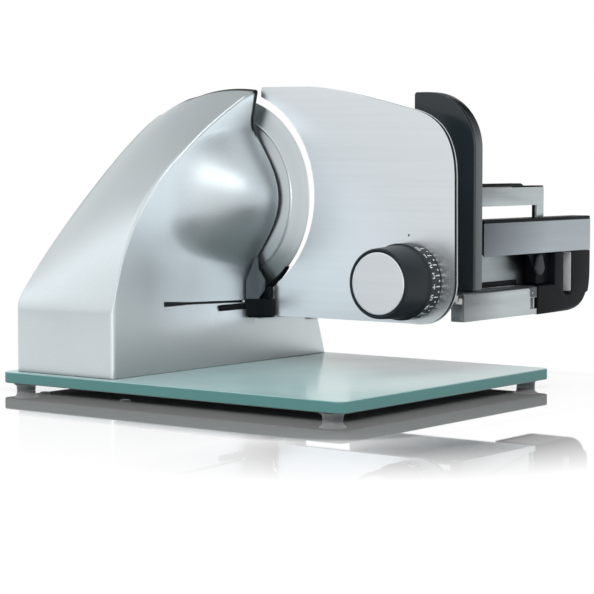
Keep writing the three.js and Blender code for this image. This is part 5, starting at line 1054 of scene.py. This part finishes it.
def add_card(name, azimuth, elevation, width, height, tone, distance):
    """Card that faces the machine from an azimuth, counted from +X towards +Y, and an elevation, both in
    degrees; sizes and distance in metres. It glows in one tone, hidden from camera, light and shadow."""
    a, e = np.radians(azimuth), np.radians(elevation)
    out = np.array([np.cos(a) * np.cos(e), np.sin(a) * np.cos(e), np.sin(e)])
    side = np.array([-np.sin(a), np.cos(a), 0]) * width / 2
    up = np.cross(out, side / (width / 2)) * height / 2
    middle = CARD_AIM + out * distance
    material, tree, shader = new_material(name)
    tree.nodes.remove(shader)
    glow = add_node(tree, "ShaderNodeEmission", {"Color": (tone, tone * 1.01, tone * 1.02, 1)})
    tree.links.new(glow.outputs[0], tree.nodes["Material Output"].inputs["Surface"])
    corners = [middle + side * u + up * v for u, v in ((-1, -1), (1, -1), (1, 1), (-1, 1))]
    card = add_stage(name, corners, material)
    card.visible_camera = card.visible_diffuse = card.visible_shadow = card.visible_transmission = False


add_card("card_light", 18, 46, 1.8, 2.4, 0.78, 2.5)
add_card("card_dark", 64, 42, 2.2, 2.6, 0.20, 2.5)
add_card("card_corner", 82, 40, 1.3, 1.7, 0.01, 1.9)
add_card("card_crease", 20, 67, 1.2, 0.5, 5.0, 2.3)
add_card("card_side", -6, 14, 1.2, 1.6, 0.42, 2.2)
add_card("card_flank", 33, 8, 0.7, 1.0, 0.40, 2.1)
add_card("card_spot", 14, 18, 0.32, 0.74, 5.4, 2.0)
add_card("card_sky", 142, 48, 2.2, 2.0, 0.48, 2.2)
add_card("card_back", 126, 24, 1.1, 0.6, 0.45, 2.2)
add_card("card_step", 177, 50, 0.8, 1.6, 0.75, 2.2)
add_card("card_over", 140, 82, 1.4, 1.0, 0.55, 2.4)
add_card("card_left", 216, 40, 2.2, 1.6, 1.30, 2.35)
add_card("card_front", 234, -2, 1.8, 0.6, 0.60, 2.2)
add_card("card_bounce", -48, 4, 1.2, 0.7, 2.8, 2.2)

# Camera. It stands at the place and looks at the angle that were solved from the photograph, with the lens
# that the solve gave for a sensor of full width.
CAMERA_AT, CAMERA_HEADING, CAMERA_PITCH = (1178.95, -1157.63, 173.98), np.radians(37.23), np.radians(3.93)
camera_data = bpy.data.cameras.new("camera")
camera_data.lens, camera_data.sensor_width, camera_data.clip_end = 121.37, 36.0, 100.0
camera = bpy.data.objects.new("camera", camera_data)
camera.location = place(CAMERA_AT).tolist()
level_run = np.cos(CAMERA_PITCH)
ahead = Vector((
    -np.sin(CAMERA_HEADING) * level_run, np.cos(CAMERA_HEADING) * level_run, -np.sin(CAMERA_PITCH)))
camera.rotation_mode = "QUATERNION"
camera.rotation_quaternion = ahead.to_track_quat("-Z", "Y")
bpy.context.scene.collection.objects.link(camera)
bpy.context.scene.camera = camera
bpy.context.scene.view_settings.view_transform = "Standard"
